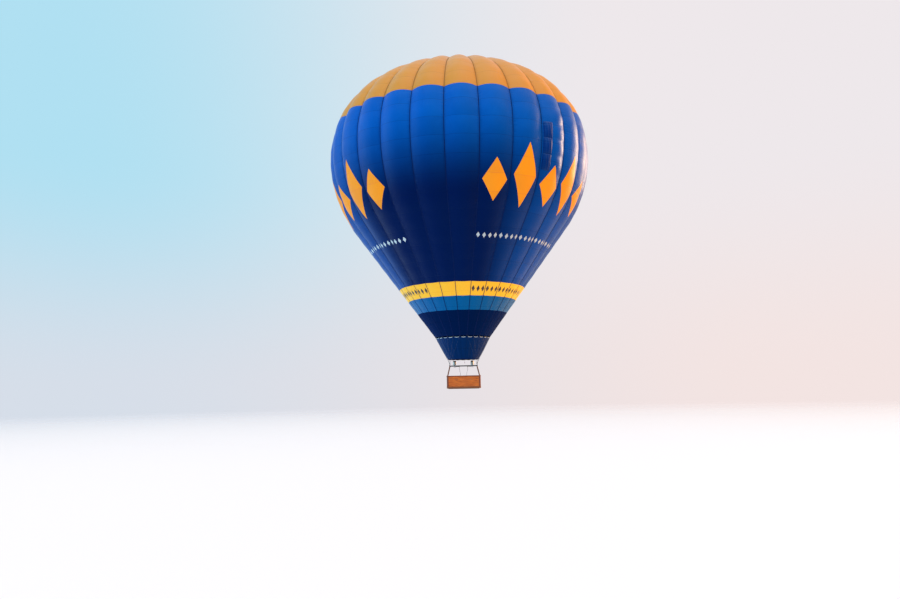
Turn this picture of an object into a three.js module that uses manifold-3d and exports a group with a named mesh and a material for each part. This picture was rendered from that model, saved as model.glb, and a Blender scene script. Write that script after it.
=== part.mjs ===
// A hot air balloon: a lobed fabric envelope of 26 gores with a parachute valve at its crown, a skirt
// under its mouth, flying wires down to a tube frame with two gimballed double burners, and a wicker
// basket on wooden runners. Millimetres, +Z up, X along the basket's long side, and the front is -Y.
// The origin is the centre of the basket's underside.
import * as THREE from 'three';
import { mergeVertices } from 'three/addons/utils/BufferGeometryUtils.js';
import Module from 'manifold-3d';

const wasm = await Module();
wasm.setup();

const degrees = Math.PI / 180;

// Space between two pieces that touch on the real balloon.
const SEAT = 0.3;

// Envelope: the meridian runs up the ridges of the gores.
const GORES = 26;
const FIRST_TAPE_ANGLE = -5.6 * degrees;
const EQUATOR_RADIUS = 11560;
const EQUATOR_HEIGHT = 20480;
const UPPER_ARC_RADIUS = 7570;
const UPPER_ARC_END = 57 * degrees;
const LOWER_ARC_RADIUS = 10940;
const CONE_HALF_ANGLE = 36.5 * degrees;
const MOUTH_RADIUS = 2410;
const FABRIC = 10;
const LOBE_DEPTH = 370;
const FACETS_PER_GORE = 4;

// Seams of the envelope, as distances along the meridian from the mouth.
const HEAT_SEAM = 2560;
const STRIP_SEAM = 3920;
const BAND_SEAM = 5250;
const SHOULDER_SEAM = 13860;
const GOLD_SEAM = 21680;
const VENT_EDGE = 31640;

// Crown: the vent is closed from inside by the parachute valve, and tapes cross it to the crown ring.
const CROWN_STATIONS = 2;
const CROWN_RING_RADIUS = 150;
const CROWN_RING_TUBE = 18;
const TAPE_WIDTH = 40;
const TAPE_HUB_WIDTH = 70;
const VALVE_RADIUS = 3520;
const VALVE_RIM_SLOPE = 0.22;
const VALVE_RIM_DROP = 45;
const TAPE_INSET = 1;

// Turning vents: a long flap beside a load tape, right and left.
const TURNING_VENT_TAPES = { right: 3, left: 16 };
const TURNING_VENT_FROM = 1;
const TURNING_VENT_TO = 4;
const TURNING_VENT_ACROSS = [0.04, 0.31];

// Skirt under the mouth, oval at its hem so that it stays inside the wires.
const SKIRT_DROP = 1960;
const SKIRT_HEM_HALF_LENGTH = 1340;
const SKIRT_HEM_HALF_WIDTH = 1060;
const SKIRT_SCALLOP = 70;
const SKIRT_OUTSET = 2;
const SKIRT_FACETS_PER_GORE = 2;

// Burner frame.
const FRAME_HEIGHT = 2000;
const FRAME_HALF_LENGTH = 1200;
const FRAME_HALF_WIDTH = 750;
const FRAME_TUBE = 25;
const FRAME_CROSS_TUBE_X = 360;
const CORNER_BLOCK = 80;
const LUG = { width: 52, height: 52, thickness: 12, hole: 14 };
const LINK = { width: 48, height: 84, bar: 12 };
const LUG_SUNK = 2;
const LINK_CLEARANCE = 2;
const WIRE_RADIUS = 4;
const WIRE_KNOT = 42;
const WIRE_KNOT_ABOVE_LINK = 24;
const WIRE_TOP_ABOVE_MOUTH = 60;
const UPRIGHT_RADIUS = 28;
const UPRIGHT_FOOT_INSET = { x: 60, y: 12 };
const HOSE_BLOCK = { x: 60, y: 70, z: 80, fromMiddle: 480, lowered: 20 };

// Burners: one pair of cans in each end bay of the frame, tilting on two axes.
const BURNER_X = (FRAME_CROSS_TUBE_X + FRAME_HALF_LENGTH) / 2;
const GIMBAL_HALF_X = 285;
const GIMBAL_HALF_Y = 360;
const GIMBAL_BAR = 26;
const GIMBAL_BAR_HEIGHT = 42;
const PIVOT_RADIUS = 11;
const PIVOT_CLEARANCE = 1;
const PIN_REACH = { frame: 12, gimbal: 30 };
const EAR = { x: 50, y: 16, z: 120, fromBar: 22, raised: 24 };
const CAN_SPACING_Y = 165;
const CAN_RADIUS = 132;
const CAN_WALL = 5;
const CAN_FOOT = 90;
const CAN_HEIGHT = 350;
const BASE_PLATE = { x: 300, y: 640, z: 14 };
const VALVE_BODY = { x: 90, y: 460, z: 160, underPlate: 90 };

// Basket.
const BASKET_LENGTH = 2960;
const BASKET_WIDTH = 1640;
const BASKET_CORNER = 130;
const WALL = 42;
const RUNNER = { length: 2700, width: 70, height: 45, spacing: 590 };
const FLOOR_THICKNESS = 20;
const WALL_TOP = 1075;
const SCUFF_BAND = { thickness: 8, top: 190 };
const RIM_WIDTH = 104;
const RIM_HEIGHT = 66;
const PARTITION_X = 470;
const PARTITION = 32;
const PARTITION_PAD = { width: 64, height: 50, fromWall: 30 };
const PARTITION_BELOW_WALL = 8;
const STEP_HOLE = { width: 190, height: 110, y: 410, levels: [330, 680] };
const CYLINDER_X = 270;
const CYLINDER_Y = 600;
const CYLINDER_RADIUS = 145;
const CYLINDER_HEIGHT = 880;
const CYLINDER_NECK = 60;
const HOSE_RADIUS = 9;
const HOSE_ROUTE = { start: 120, slack: 420, inward: 20, end: 260 };

// Colours.
const material = (color, roughness, metalness = 0) =>
  new THREE.MeshStandardMaterial({ color, roughness, metalness });
const gold = material(0xd99a45, 0.6);
const blue = material(0x0a4fa8, 0.55);
const yellow = material(0xf0b233, 0.6);
const teal = material(0x0a5a86, 0.55);
const navy = material(0x0c2346, 0.7);
const webbing = material(0x1b2a4a, 0.8);
const steel = material(0xb8bcc0, 0.3, 1);
const alloy = material(0xa5a8ab, 0.4, 1);
const black = material(0x2a2b2e, 0.5, 0.3);
const wicker = material(0xb5642c, 0.8);
const leather = material(0x4a2416, 0.6);
const timber = material(0x8a6238, 0.7);
const rubber = material(0x1c1c1e, 0.8);
const jacket = material(0x6e1f24, 0.85);

// Solids.

function toSolid(geometry) {
  const bare = geometry.clone();
  bare.deleteAttribute('normal');
  bare.deleteAttribute('uv');
  const merged = mergeVertices(bare, 1e-3);
  return new wasm.Manifold(new wasm.Mesh({
    numProp: 3,
    vertProperties: new Float32Array(merged.attributes.position.array),
    triVerts: new Uint32Array(merged.index.array),
  }));
}

function toGeometry(solid) {
  const mesh = solid.getMesh();
  const geometry = new THREE.BufferGeometry();
  geometry.setAttribute('position', new THREE.BufferAttribute(mesh.vertProperties, 3));
  geometry.setIndex(new THREE.BufferAttribute(mesh.triVerts, 1));
  geometry.computeVertexNormals();
  return geometry;
}

const join = (...pieces) => toGeometry(pieces.map(toSolid).reduce((a, b) => a.add(b)));
const cut = (body, ...tools) =>
  toGeometry(tools.map(toSolid).reduce((a, b) => a.subtract(b), toSolid(body)));
const within = (body, bounds) => toGeometry(toSolid(body).intersect(toSolid(bounds)));

function signedVolume(points, triangles) {
  let sum = 0;
  for (let i = 0; i < triangles.length; i += 3) {
    const [a, b, c] = [points[triangles[i]], points[triangles[i + 1]], points[triangles[i + 2]]];
    sum += a.dot(b.clone().cross(c));
  }
  return sum / 6;
}

function closedGeometry(points, triangles) {
  if (signedVolume(points, triangles) < 0) triangles.reverse();
  const geometry = new THREE.BufferGeometry().setFromPoints(points);
  geometry.setIndex(triangles);
  geometry.computeVertexNormals();
  return geometry;
}

// A closed ring through sections that stand one after another around it. Each section is a closed
// outline with the same number of points.
function ringThrough(sections) {
  const size = sections[0].length;
  const triangles = [];
  sections.forEach((section, i) => {
    const here = i * size;
    const next = ((i + 1) % sections.length) * size;
    for (let j = 0; j < size; j += 1) {
      const k = (j + 1) % size;
      triangles.push(here + j, next + j, next + k, here + j, next + k, here + k);
    }
  });
  return closedGeometry(sections.flat(), triangles);
}

// A closed bar through sections that stand one after another along it, with flat ends.
function barThrough(sections) {
  const size = sections[0].length;
  const triangles = [];
  for (let i = 0; i + 1 < sections.length; i += 1) {
    for (let j = 0; j < size; j += 1) {
      const k = (j + 1) % size;
      const a = i * size;
      const b = a + size;
      triangles.push(a + j, b + j, b + k, a + j, b + k, a + k);
    }
  }
  const last = (sections.length - 1) * size;
  for (let j = 1; j + 1 < size; j += 1) {
    triangles.push(0, j, j + 1, last, last + j + 1, last + j);
  }
  return closedGeometry(sections.flat(), triangles);
}

const box = (x, y, z, at) => new THREE.BoxGeometry(x, y, z).translate(at[0], at[1], at[2]);

// A round bar from one point to another.
function rod(from, to, radius, sides = 10) {
  const start = new THREE.Vector3(...from);
  const along = new THREE.Vector3(...to).sub(start);
  const geometry = new THREE.CylinderGeometry(radius, radius, along.length(), sides);
  geometry.translate(0, along.length() / 2, 0);
  const turn = new THREE.Quaternion().setFromUnitVectors(new THREE.Vector3(0, 1, 0), along.normalize());
  return geometry.applyQuaternion(turn).translate(start.x, start.y, start.z);
}

// A leaning bar with level ends.
function leaningBar(from, to, radius, sides = 12) {
  const level = (at) => Array.from({ length: sides }, (_, i) => {
    const turn = i / sides * 2 * Math.PI;
    return new THREE.Vector3(at[0] + radius * Math.cos(turn), at[1] + radius * Math.sin(turn), at[2]);
  });
  return barThrough([level(from), level(to)]);
}

function roundedRectangle(length, width, radius) {
  const shape = new THREE.Shape();
  const x = length / 2 - radius;
  const y = width / 2 - radius;
  shape.absarc(x, -y, radius, -Math.PI / 2, 0);
  shape.absarc(x, y, radius, 0, Math.PI / 2);
  shape.absarc(-x, y, radius, Math.PI / 2, Math.PI);
  shape.absarc(-x, -y, radius, Math.PI, 1.5 * Math.PI);
  shape.closePath();
  return shape;
}

const roundOutline = (radius, sides, x = 0, y = 0) => Array.from({ length: sides }, (_, i) => {
  const turn = i / sides * 2 * Math.PI;
  return new THREE.Vector2(x + radius * Math.cos(turn), y + radius * Math.sin(turn));
});

const plate = (shape, thickness, curveSegments = 3) =>
  new THREE.ExtrudeGeometry(shape, { depth: thickness, bevelEnabled: false, curveSegments });

const model = new THREE.Group();

function addPart(name, geometry, look) {
  const mesh = new THREE.Mesh(geometry, look);
  mesh.name = name;
  model.add(mesh);
  return mesh;
}

// The four corners and how they are named.
const corners = [
  { name: 'front_left', x: -1, y: -1 },
  { name: 'front_right', x: 1, y: -1 },
  { name: 'back_right', x: 1, y: 1 },
  { name: 'back_left', x: -1, y: 1 },
];
const sides = [
  { name: 'left', x: -1 },
  { name: 'right', x: 1 },
];

// Meridian of the envelope, from the mouth to the crown, in its own plane: x is the radius.
const coneTopRadius = EQUATOR_RADIUS - LOWER_ARC_RADIUS * (1 - Math.cos(CONE_HALF_ANGLE));
const coneTopHeight = EQUATOR_HEIGHT - LOWER_ARC_RADIUS * Math.sin(CONE_HALF_ANGLE);
const mouthHeight = coneTopHeight - (coneTopRadius - MOUTH_RADIUS) / Math.tan(CONE_HALF_ANGLE);
const upperCentreRadius = EQUATOR_RADIUS - UPPER_ARC_RADIUS;
const crownArcRadius = UPPER_ARC_RADIUS + upperCentreRadius / Math.cos(UPPER_ARC_END);
const crownCentreHeight = EQUATOR_HEIGHT - upperCentreRadius * Math.tan(UPPER_ARC_END);
const coneSlant = (coneTopRadius - MOUTH_RADIUS) / Math.sin(CONE_HALF_ANGLE);
const lowerArcLength = LOWER_ARC_RADIUS * CONE_HALF_ANGLE;
const upperArcLength = UPPER_ARC_RADIUS * UPPER_ARC_END;

// The point and the outward direction at a distance along the meridian.
function meridian(distance) {
  let angle = -CONE_HALF_ANGLE;
  let radius = MOUTH_RADIUS + distance * Math.sin(CONE_HALF_ANGLE);
  let height = mouthHeight + distance * Math.cos(CONE_HALF_ANGLE);
  const arcs = [
    { from: coneSlant, radius: LOWER_ARC_RADIUS, start: -CONE_HALF_ANGLE,
      centre: [EQUATOR_RADIUS - LOWER_ARC_RADIUS, EQUATOR_HEIGHT] },
    { from: coneSlant + lowerArcLength, radius: UPPER_ARC_RADIUS, start: 0,
      centre: [upperCentreRadius, EQUATOR_HEIGHT] },
    { from: coneSlant + lowerArcLength + upperArcLength, radius: crownArcRadius, start: UPPER_ARC_END,
      centre: [0, crownCentreHeight] },
  ];
  for (const arc of arcs) {
    if (distance > arc.from) {
      angle = arc.start + (distance - arc.from) / arc.radius;
      radius = arc.centre[0] + arc.radius * Math.cos(angle);
      height = arc.centre[1] + arc.radius * Math.sin(angle);
    }
  }
  return { radius, height, angle };
}

// How deep the tapes lie below the ridges: full at the equator, nearly nothing at the mouth.
function lobeDepth(distance) {
  const { radius, height } = meridian(distance);
  const rise = Math.min(1, (height - mouthHeight) / (EQUATOR_HEIGHT - mouthHeight));
  return LOBE_DEPTH * radius / EQUATOR_RADIUS * rise;
}

const tapeAngle = (index) => FIRST_TAPE_ANGLE + index * 2 * Math.PI / GORES;

// A point of the envelope: how far along the meridian, which gore, how far across it (0 and 1 are its
// tapes), and how far out of the outer face.
function envelopePoint(distance, gore, across, out = 0) {
  const { radius, height, angle } = meridian(distance);
  const inward = lobeDepth(distance) * (1 - Math.sin(Math.PI * across)) - out;
  const turn = tapeAngle(gore + across);
  const r = radius - inward * Math.cos(angle);
  return new THREE.Vector3(r * Math.sin(turn), -r * Math.cos(turn), height - inward * Math.sin(angle));
}

// A ring of fabric between two seams, with its inner face a fabric's thickness inside its outer one.
function fabricRing(from, to, steps) {
  const stations = Array.from({ length: steps + 1 }, (_, i) =>
    THREE.MathUtils.lerp(from + SEAT / 2, to - SEAT / 2, i / steps));
  const sections = [];
  for (let gore = 0; gore < GORES; gore += 1) {
    for (let facet = 0; facet < FACETS_PER_GORE; facet += 1) {
      const across = facet / FACETS_PER_GORE;
      const outer = stations.map((s) => envelopePoint(s, gore, across));
      const inner = stations.map((s) => envelopePoint(s, gore, across, -FABRIC));
      sections.push([...outer, ...inner.reverse()]);
    }
  }
  return ringThrough(sections);
}

const SHOULDER_STEPS = 6;
const rings = [
  // name, lower seam, upper seam, steps, look
  ['heat_panels', 0, HEAT_SEAM, 1, navy],
  ['lower_strip', HEAT_SEAM, STRIP_SEAM, 1, teal],
  ['yellow_band', STRIP_SEAM, BAND_SEAM, 1, yellow],
  ['blue_panels_lower', BAND_SEAM, SHOULDER_SEAM, 4, blue],
  ['blue_panels_upper', SHOULDER_SEAM, GOLD_SEAM, SHOULDER_STEPS, blue],
  ['crown_panels', GOLD_SEAM, VENT_EDGE, 7, gold],
];
const ringMeshes = {};
for (const [name, from, to, steps, look] of rings) {
  ringMeshes[name] = addPart(name, fabricRing(from, to, steps), look);
}

// Turning vents: each flap is a fabric's thickness raised off the panels beside its tape.
for (const side of sides) {
  const tape = TURNING_VENT_TAPES[side.name];
  const [near, far] = TURNING_VENT_ACROSS;
  const turn = tapeAngle(tape + (near + far) / 2);
  const raised = (distance) => ringMeshes.blue_panels_upper.geometry.clone()
    .translate(distance * Math.sin(turn), -distance * Math.cos(turn), 0);
  const outline = [];
  for (let step = TURNING_VENT_FROM; step <= TURNING_VENT_TO; step += 1) {
    const s = THREE.MathUtils.lerp(SHOULDER_SEAM, GOLD_SEAM, step / SHOULDER_STEPS);
    outline.push([[near, -LOBE_DEPTH], [far, -LOBE_DEPTH], [far, LOBE_DEPTH], [near, LOBE_DEPTH]]
      .map(([across, out]) => envelopePoint(s, tape, across, out)));
  }
  const flap = within(raised(SEAT + FABRIC), barThrough(outline));
  addPart(`turning_vent_${side.name}`, cut(flap, raised(SEAT)), blue);
}

// Crown: stations from the vent's edge to the hub of the tapes.
const crownTop = crownCentreHeight + crownArcRadius;
const hubRadius = CROWN_RING_RADIUS + CROWN_RING_TUBE + SEAT;
const meridianLength = coneSlant + lowerArcLength + upperArcLength
  + crownArcRadius * (Math.PI / 2 - UPPER_ARC_END);
const hubStation = meridianLength - hubRadius - TAPE_HUB_WIDTH / 2;
const crownStations = Array.from({ length: CROWN_STATIONS + 1 }, (_, i) =>
  THREE.MathUtils.lerp(VENT_EDGE + 4 * SEAT, hubStation, i / CROWN_STATIONS));

function crownTape(index) {
  const turn = tapeAngle(index);
  const aside = new THREE.Vector3(Math.cos(turn), Math.sin(turn), 0).multiplyScalar(TAPE_WIDTH / 2);
  return barThrough(crownStations.map((s) => {
    const top = envelopePoint(s, index, 0, -TAPE_INSET);
    const under = envelopePoint(s, index, 0, -FABRIC);
    return [
      top.clone().sub(aside),
      top.clone().add(aside),
      under.clone().add(aside),
      under.clone().sub(aside),
    ];
  }));
}

const hubTop = crownTop - TAPE_INSET;
const tapeHub = new THREE.LatheGeometry([
  new THREE.Vector2(hubRadius, hubTop - FABRIC),
  new THREE.Vector2(hubRadius + TAPE_HUB_WIDTH, hubTop - FABRIC),
  new THREE.Vector2(hubRadius + TAPE_HUB_WIDTH, hubTop),
  new THREE.Vector2(hubRadius, hubTop),
  new THREE.Vector2(hubRadius, hubTop - FABRIC),
], GORES).rotateX(Math.PI / 2);
addPart('crown_tapes', join(tapeHub, ...Array.from({ length: GORES }, (_, i) => crownTape(i))), webbing);

const ringBottom = hubTop - FABRIC + 2 * TAPE_INSET;
const ringTop = ringBottom + 2 * CROWN_RING_TUBE;
const crownRing = new THREE.LatheGeometry([
  new THREE.Vector2(CROWN_RING_RADIUS - CROWN_RING_TUBE, ringBottom),
  new THREE.Vector2(CROWN_RING_RADIUS + CROWN_RING_TUBE, ringBottom),
  new THREE.Vector2(CROWN_RING_RADIUS + CROWN_RING_TUBE, ringTop),
  new THREE.Vector2(CROWN_RING_RADIUS - CROWN_RING_TUBE, ringTop),
  new THREE.Vector2(CROWN_RING_RADIUS - CROWN_RING_TUBE, ringBottom),
], GORES).rotateX(Math.PI / 2);
addPart('crown_ring', crownRing, alloy);

// Parachute valve: a dome of fabric under the tapes, with its rim under the edge of the vent.
const valveFace = (s, out) => {
  const at = envelopePoint(s, 0, 0, out);
  return new THREE.Vector2(Math.hypot(at.x, at.y), at.z);
};
const valveTop = crownStations.map((s) => valveFace(s, -FABRIC - SEAT));
const valveUnder = crownStations.map((s) => valveFace(s, -2 * FABRIC - SEAT));
const rimTop = valveTop[0].clone().add(new THREE.Vector2(VALVE_RADIUS - valveTop[0].x, 0));
rimTop.y -= (VALVE_RADIUS - valveTop[0].x) * VALVE_RIM_SLOPE + VALVE_RIM_DROP;
const domeDrop = 4 * CROWN_RING_TUBE;
addPart('parachute_valve', new THREE.LatheGeometry([
  new THREE.Vector2(0, crownTop - domeDrop - FABRIC),
  ...valveUnder.reverse(),
  new THREE.Vector2(rimTop.x, rimTop.y - FABRIC),
  rimTop,
  ...valveTop,
  new THREE.Vector2(0, crownTop - domeDrop),
], GORES).rotateX(Math.PI / 2), gold);

// Skirt: it hangs from the mouth at the tapes, with a shallow gap between them.
function skirtRing() {
  const sections = [];
  for (let facet = 0; facet < GORES * SKIRT_FACETS_PER_GORE; facet += 1) {
    const turn = tapeAngle(facet / SKIRT_FACETS_PER_GORE);
    const top = facet % SKIRT_FACETS_PER_GORE === 0 ? 2 * SEAT : SKIRT_SCALLOP;
    const point = (drop, inward) => {
      const level = drop / SKIRT_DROP;
      const halfLength = THREE.MathUtils.lerp(MOUTH_RADIUS, SKIRT_HEM_HALF_LENGTH, level) - inward;
      const halfWidth = THREE.MathUtils.lerp(MOUTH_RADIUS, SKIRT_HEM_HALF_WIDTH, level) - inward;
      return new THREE.Vector3(halfLength * Math.sin(turn), -halfWidth * Math.cos(turn), mouthHeight - drop);
    };
    const drops = [top, SKIRT_DROP / 2, SKIRT_DROP];
    const outer = drops.map((drop) => point(drop, -SKIRT_OUTSET));
    const inner = drops.map((drop) => point(drop, FABRIC - SKIRT_OUTSET));
    sections.push([...outer, ...inner.reverse()]);
  }
  return ringThrough(sections);
}
addPart('skirt', skirtRing(), navy);

// Flying wires: one from every tape to the link at the nearest corner of the burner frame.
const lugTop = FRAME_HEIGHT + CORNER_BLOCK / 2;
const holeHeight = lugTop + LUG.height - LUG.width / 2;
const linkInside = LINK.width / 2 - LINK.bar;
const linkRise = linkInside - Math.sqrt(linkInside ** 2 - (LUG.thickness / 2) ** 2);
const seatInHole = Math.sqrt(LUG.hole ** 2 - (LINK.bar / 2) ** 2) - linkRise - LINK_CLEARANCE;
const linkBottom = holeHeight + seatInHole - LINK.bar;
const gatherHeight = linkBottom + LINK.height + WIRE_KNOT_ABOVE_LINK;

function linkPlate(x, y) {
  const openingWidth = LINK.width - 2 * LINK.bar;
  const outline = roundedRectangle(LINK.width, LINK.height, LINK.width / 2 - 1);
  outline.holes.push(roundedRectangle(openingWidth, LINK.height - 2 * LINK.bar, openingWidth / 2 - 1));
  const geometry = plate(outline, LINK.bar, 3).translate(0, 0, -LINK.bar / 2);
  geometry.rotateX(Math.PI / 2).rotateZ(Math.PI / 2);
  return geometry.translate(x, y, linkBottom + LINK.height / 2);
}

for (const corner of corners) {
  const x = corner.x * FRAME_HALF_LENGTH;
  const y = corner.y * FRAME_HALF_WIDTH;
  const knot = new THREE.SphereGeometry(WIRE_KNOT, 10, 6).rotateX(Math.PI / 2).translate(x, y, gatherHeight);
  const pieces = [linkPlate(x, y), knot];
  for (let index = 0; index < GORES; index += 1) {
    const turn = tapeAngle(index);
    if (Math.sin(turn) * corner.x > 0 && -Math.cos(turn) * corner.y > 0) {
      const top = envelopePoint(WIRE_TOP_ABOVE_MOUTH, index, 0, WIRE_RADIUS + 2 * SEAT);
      pieces.push(rod([x, y, gatherHeight], top.toArray(), WIRE_RADIUS, 6));
    }
  }
  addPart(`flying_wires_${corner.name}`, join(...pieces), steel);
}

// Burner frame: a tube rectangle with cross tubes, corner blocks and lugs.
function lugPlate(x, y) {
  const outline = roundedRectangle(LUG.width, LUG.height, LUG.width / 2 - 1);
  outline.holes.push(new THREE.Path(roundOutline(LUG.hole, 16, 0, LUG.height / 2 - LUG.width / 2)));
  const geometry = plate(outline, LUG.thickness, 2).translate(0, 0, -LUG.thickness / 2);
  return geometry.rotateX(Math.PI / 2).translate(x, y, lugTop + LUG.height / 2 - LUG_SUNK);
}

const frameTubes = [];
for (const y of [-FRAME_HALF_WIDTH, FRAME_HALF_WIDTH]) {
  const end = [FRAME_HALF_LENGTH, y, FRAME_HEIGHT];
  frameTubes.push(rod([-FRAME_HALF_LENGTH, y, FRAME_HEIGHT], end, FRAME_TUBE));
}
for (const x of [-FRAME_HALF_LENGTH, -FRAME_CROSS_TUBE_X, FRAME_CROSS_TUBE_X, FRAME_HALF_LENGTH]) {
  frameTubes.push(rod([x, -FRAME_HALF_WIDTH, FRAME_HEIGHT], [x, FRAME_HALF_WIDTH, FRAME_HEIGHT], FRAME_TUBE));
}
for (const corner of corners) {
  const x = corner.x * FRAME_HALF_LENGTH;
  const y = corner.y * FRAME_HALF_WIDTH;
  frameTubes.push(box(CORNER_BLOCK, CORNER_BLOCK, CORNER_BLOCK, [x, y, FRAME_HEIGHT]));
  frameTubes.push(lugPlate(x, y));
}
const hoseBlocks = corners.map(({ x, y }) => [x * FRAME_CROSS_TUBE_X, y * HOSE_BLOCK.fromMiddle]);
for (const [x, y] of hoseBlocks) {
  frameTubes.push(box(HOSE_BLOCK.x, HOSE_BLOCK.y, HOSE_BLOCK.z, [x, y, FRAME_HEIGHT - HOSE_BLOCK.lowered]));
}

// The pivots of the gimbals are pins on the frame and on the gimbals, in holes of the next piece.
const pivotHole = PIVOT_RADIUS + PIVOT_CLEARANCE;
for (const side of sides) {
  const x = side.x * BURNER_X;
  for (const out of [-1, 1]) {
    const tube = x + out * (BURNER_X - FRAME_CROSS_TUBE_X);
    const end = x + out * (GIMBAL_HALF_X - PIN_REACH.frame);
    frameTubes.push(rod([tube, 0, FRAME_HEIGHT], [end, 0, FRAME_HEIGHT], PIVOT_RADIUS));
  }
}
addPart('burner_frame', join(...frameTubes), black);

// Uprights: stout sleeved rods from the basket's rim to the corner blocks.
const rimTopHeight = WALL_TOP + SEAT + RIM_HEIGHT;
const wallMiddleX = BASKET_LENGTH / 2 - WALL / 2;
const wallMiddleY = BASKET_WIDTH / 2 - WALL / 2;
for (const corner of corners) {
  addPart(`upright_${corner.name}`, leaningBar(
    [
      corner.x * (wallMiddleX - UPRIGHT_FOOT_INSET.x),
      corner.y * (wallMiddleY - UPRIGHT_FOOT_INSET.y),
      rimTopHeight + SEAT,
    ],
    [corner.x * FRAME_HALF_LENGTH, corner.y * FRAME_HALF_WIDTH, FRAME_HEIGHT - CORNER_BLOCK / 2 - SEAT],
    UPRIGHT_RADIUS,
  ), leather);
}

// Gimbals and burners.
for (const side of sides) {
  const x = side.x * BURNER_X;
  const barX = GIMBAL_HALF_X - GIMBAL_BAR / 2;
  const barY = GIMBAL_HALF_Y - GIMBAL_BAR / 2;
  const inner = GIMBAL_HALF_Y - GIMBAL_BAR;
  const bars = [-1, 1].flatMap((out) => [
    box(GIMBAL_BAR, 2 * GIMBAL_HALF_Y, GIMBAL_BAR_HEIGHT, [x + out * barX, 0, FRAME_HEIGHT]),
    box(2 * GIMBAL_HALF_X, GIMBAL_BAR, GIMBAL_BAR_HEIGHT, [x, out * barY, FRAME_HEIGHT]),
  ]);
  const pins = [-1, 1].map((out) =>
    rod([x, out * inner, FRAME_HEIGHT], [x, out * (inner - PIN_REACH.gimbal), FRAME_HEIGHT], PIVOT_RADIUS));
  const holes = [-1, 1].map((out) =>
    rod([x + out * (barX - GIMBAL_BAR), 0, FRAME_HEIGHT], [x + out * (barX + GIMBAL_BAR), 0, FRAME_HEIGHT],
      pivotHole));
  addPart(`gimbal_${side.name}`, cut(join(...bars, ...pins), ...holes), black);

  const ears = [-1, 1].map((out) =>
    box(EAR.x, EAR.y, EAR.z, [x, out * (inner - EAR.fromBar), FRAME_HEIGHT + EAR.raised]));
  const earHoles = [-1, 1].map((out) =>
    rod([x, out * (inner - EAR.fromBar - EAR.y), FRAME_HEIGHT], [x, out * inner, FRAME_HEIGHT], pivotHole));
  const plateHeight = FRAME_HEIGHT + CAN_FOOT - BASE_PLATE.z / 2 - SEAT;
  const block = join(
    box(BASE_PLATE.x, BASE_PLATE.y, BASE_PLATE.z, [x, 0, plateHeight]),
    box(VALVE_BODY.x, VALVE_BODY.y, VALVE_BODY.z, [x, 0, FRAME_HEIGHT + CAN_FOOT - VALVE_BODY.underPlate]),
    ...ears,
  );
  addPart(`burner_block_${side.name}`, cut(block, ...earHoles), alloy);

  for (const [where, out] of [['front', -1], ['back', 1]]) {
    const foot = FRAME_HEIGHT + CAN_FOOT;
    const can = new THREE.LatheGeometry([
      new THREE.Vector2(CAN_RADIUS - CAN_WALL, 0),
      new THREE.Vector2(CAN_RADIUS, 0),
      new THREE.Vector2(CAN_RADIUS, CAN_HEIGHT),
      new THREE.Vector2(CAN_RADIUS - CAN_WALL, CAN_HEIGHT),
      new THREE.Vector2(CAN_RADIUS - CAN_WALL, 0),
    ], 20).rotateX(Math.PI / 2);
    addPart(`burner_can_${where}_${side.name}`, can.translate(x, out * CAN_SPACING_Y, foot), steel);
  }
}

// Basket: runners, floor, woven walls, padded rim and partitions.
for (const [name, row] of [['front', -1], ['middle', 0], ['back', 1]]) {
  addPart(`runner_${name}`, box(RUNNER.length, RUNNER.width, RUNNER.height,
    [0, row * RUNNER.spacing, RUNNER.height / 2]), timber);
}

const floorBottom = RUNNER.height + SEAT;
const floorTop = floorBottom + FLOOR_THICKNESS;
addPart('basket_floor', plate(roundedRectangle(BASKET_LENGTH, BASKET_WIDTH, BASKET_CORNER), FLOOR_THICKNESS)
  .translate(0, 0, floorBottom), timber);

const wallBottom = floorTop + SEAT;
const wallShape = roundedRectangle(BASKET_LENGTH, BASKET_WIDTH, BASKET_CORNER);
wallShape.holes.push(roundedRectangle(
  BASKET_LENGTH - 2 * WALL, BASKET_WIDTH - 2 * WALL, BASKET_CORNER - WALL));
const walls = plate(wallShape, WALL_TOP - wallBottom).translate(0, 0, wallBottom);
const stepHoles = sides.flatMap((side) => STEP_HOLE.levels.map((level) =>
  box(4 * WALL, STEP_HOLE.width, STEP_HOLE.height, [side.x * BASKET_LENGTH / 2, STEP_HOLE.y, level])));
addPart('basket_walls', cut(walls, ...stepHoles), wicker);

// A rawhide band round the foot of the walls and the edge of the floor.
const bandInside = 2 * SEAT;
const bandOutside = 2 * (SEAT + SCUFF_BAND.thickness);
const bandShape = roundedRectangle(
  BASKET_LENGTH + bandOutside, BASKET_WIDTH + bandOutside, BASKET_CORNER + bandOutside / 2);
bandShape.holes.push(roundedRectangle(
  BASKET_LENGTH + bandInside, BASKET_WIDTH + bandInside, BASKET_CORNER + bandInside / 2));
addPart('scuff_band', plate(bandShape, SCUFF_BAND.top - floorBottom).translate(0, 0, floorBottom), leather);

// The rim's padding: a rounded section swept round the top of the walls.
function rimRing() {
  const line = roundedRectangle(BASKET_LENGTH - WALL, BASKET_WIDTH - WALL, BASKET_CORNER - WALL / 2);
  const points = line.extractPoints(3).shape;
  if (points[0].distanceTo(points.at(-1)) < 1) points.pop();
  const profile = [
    // how far out of the wall's middle, and how high, as shares of the width and height
    [-0.36, 0], [0.36, 0], [0.5, 0.25], [0.5, 0.6], [0.3, 0.93],
    [0, 1], [-0.3, 0.93], [-0.5, 0.6], [-0.5, 0.25],
  ];
  const sections = points.map((at, i) => {
    const before = points.at(i - 1);
    const after = points[(i + 1) % points.length];
    const out = new THREE.Vector2(after.y - before.y, before.x - after.x).normalize();
    return profile.map(([share, rise]) => {
      const aside = out.clone().multiplyScalar(share * RIM_WIDTH).add(at);
      return new THREE.Vector3(aside.x, aside.y, WALL_TOP + SEAT + rise * RIM_HEIGHT);
    });
  });
  return ringThrough(sections);
}
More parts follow.
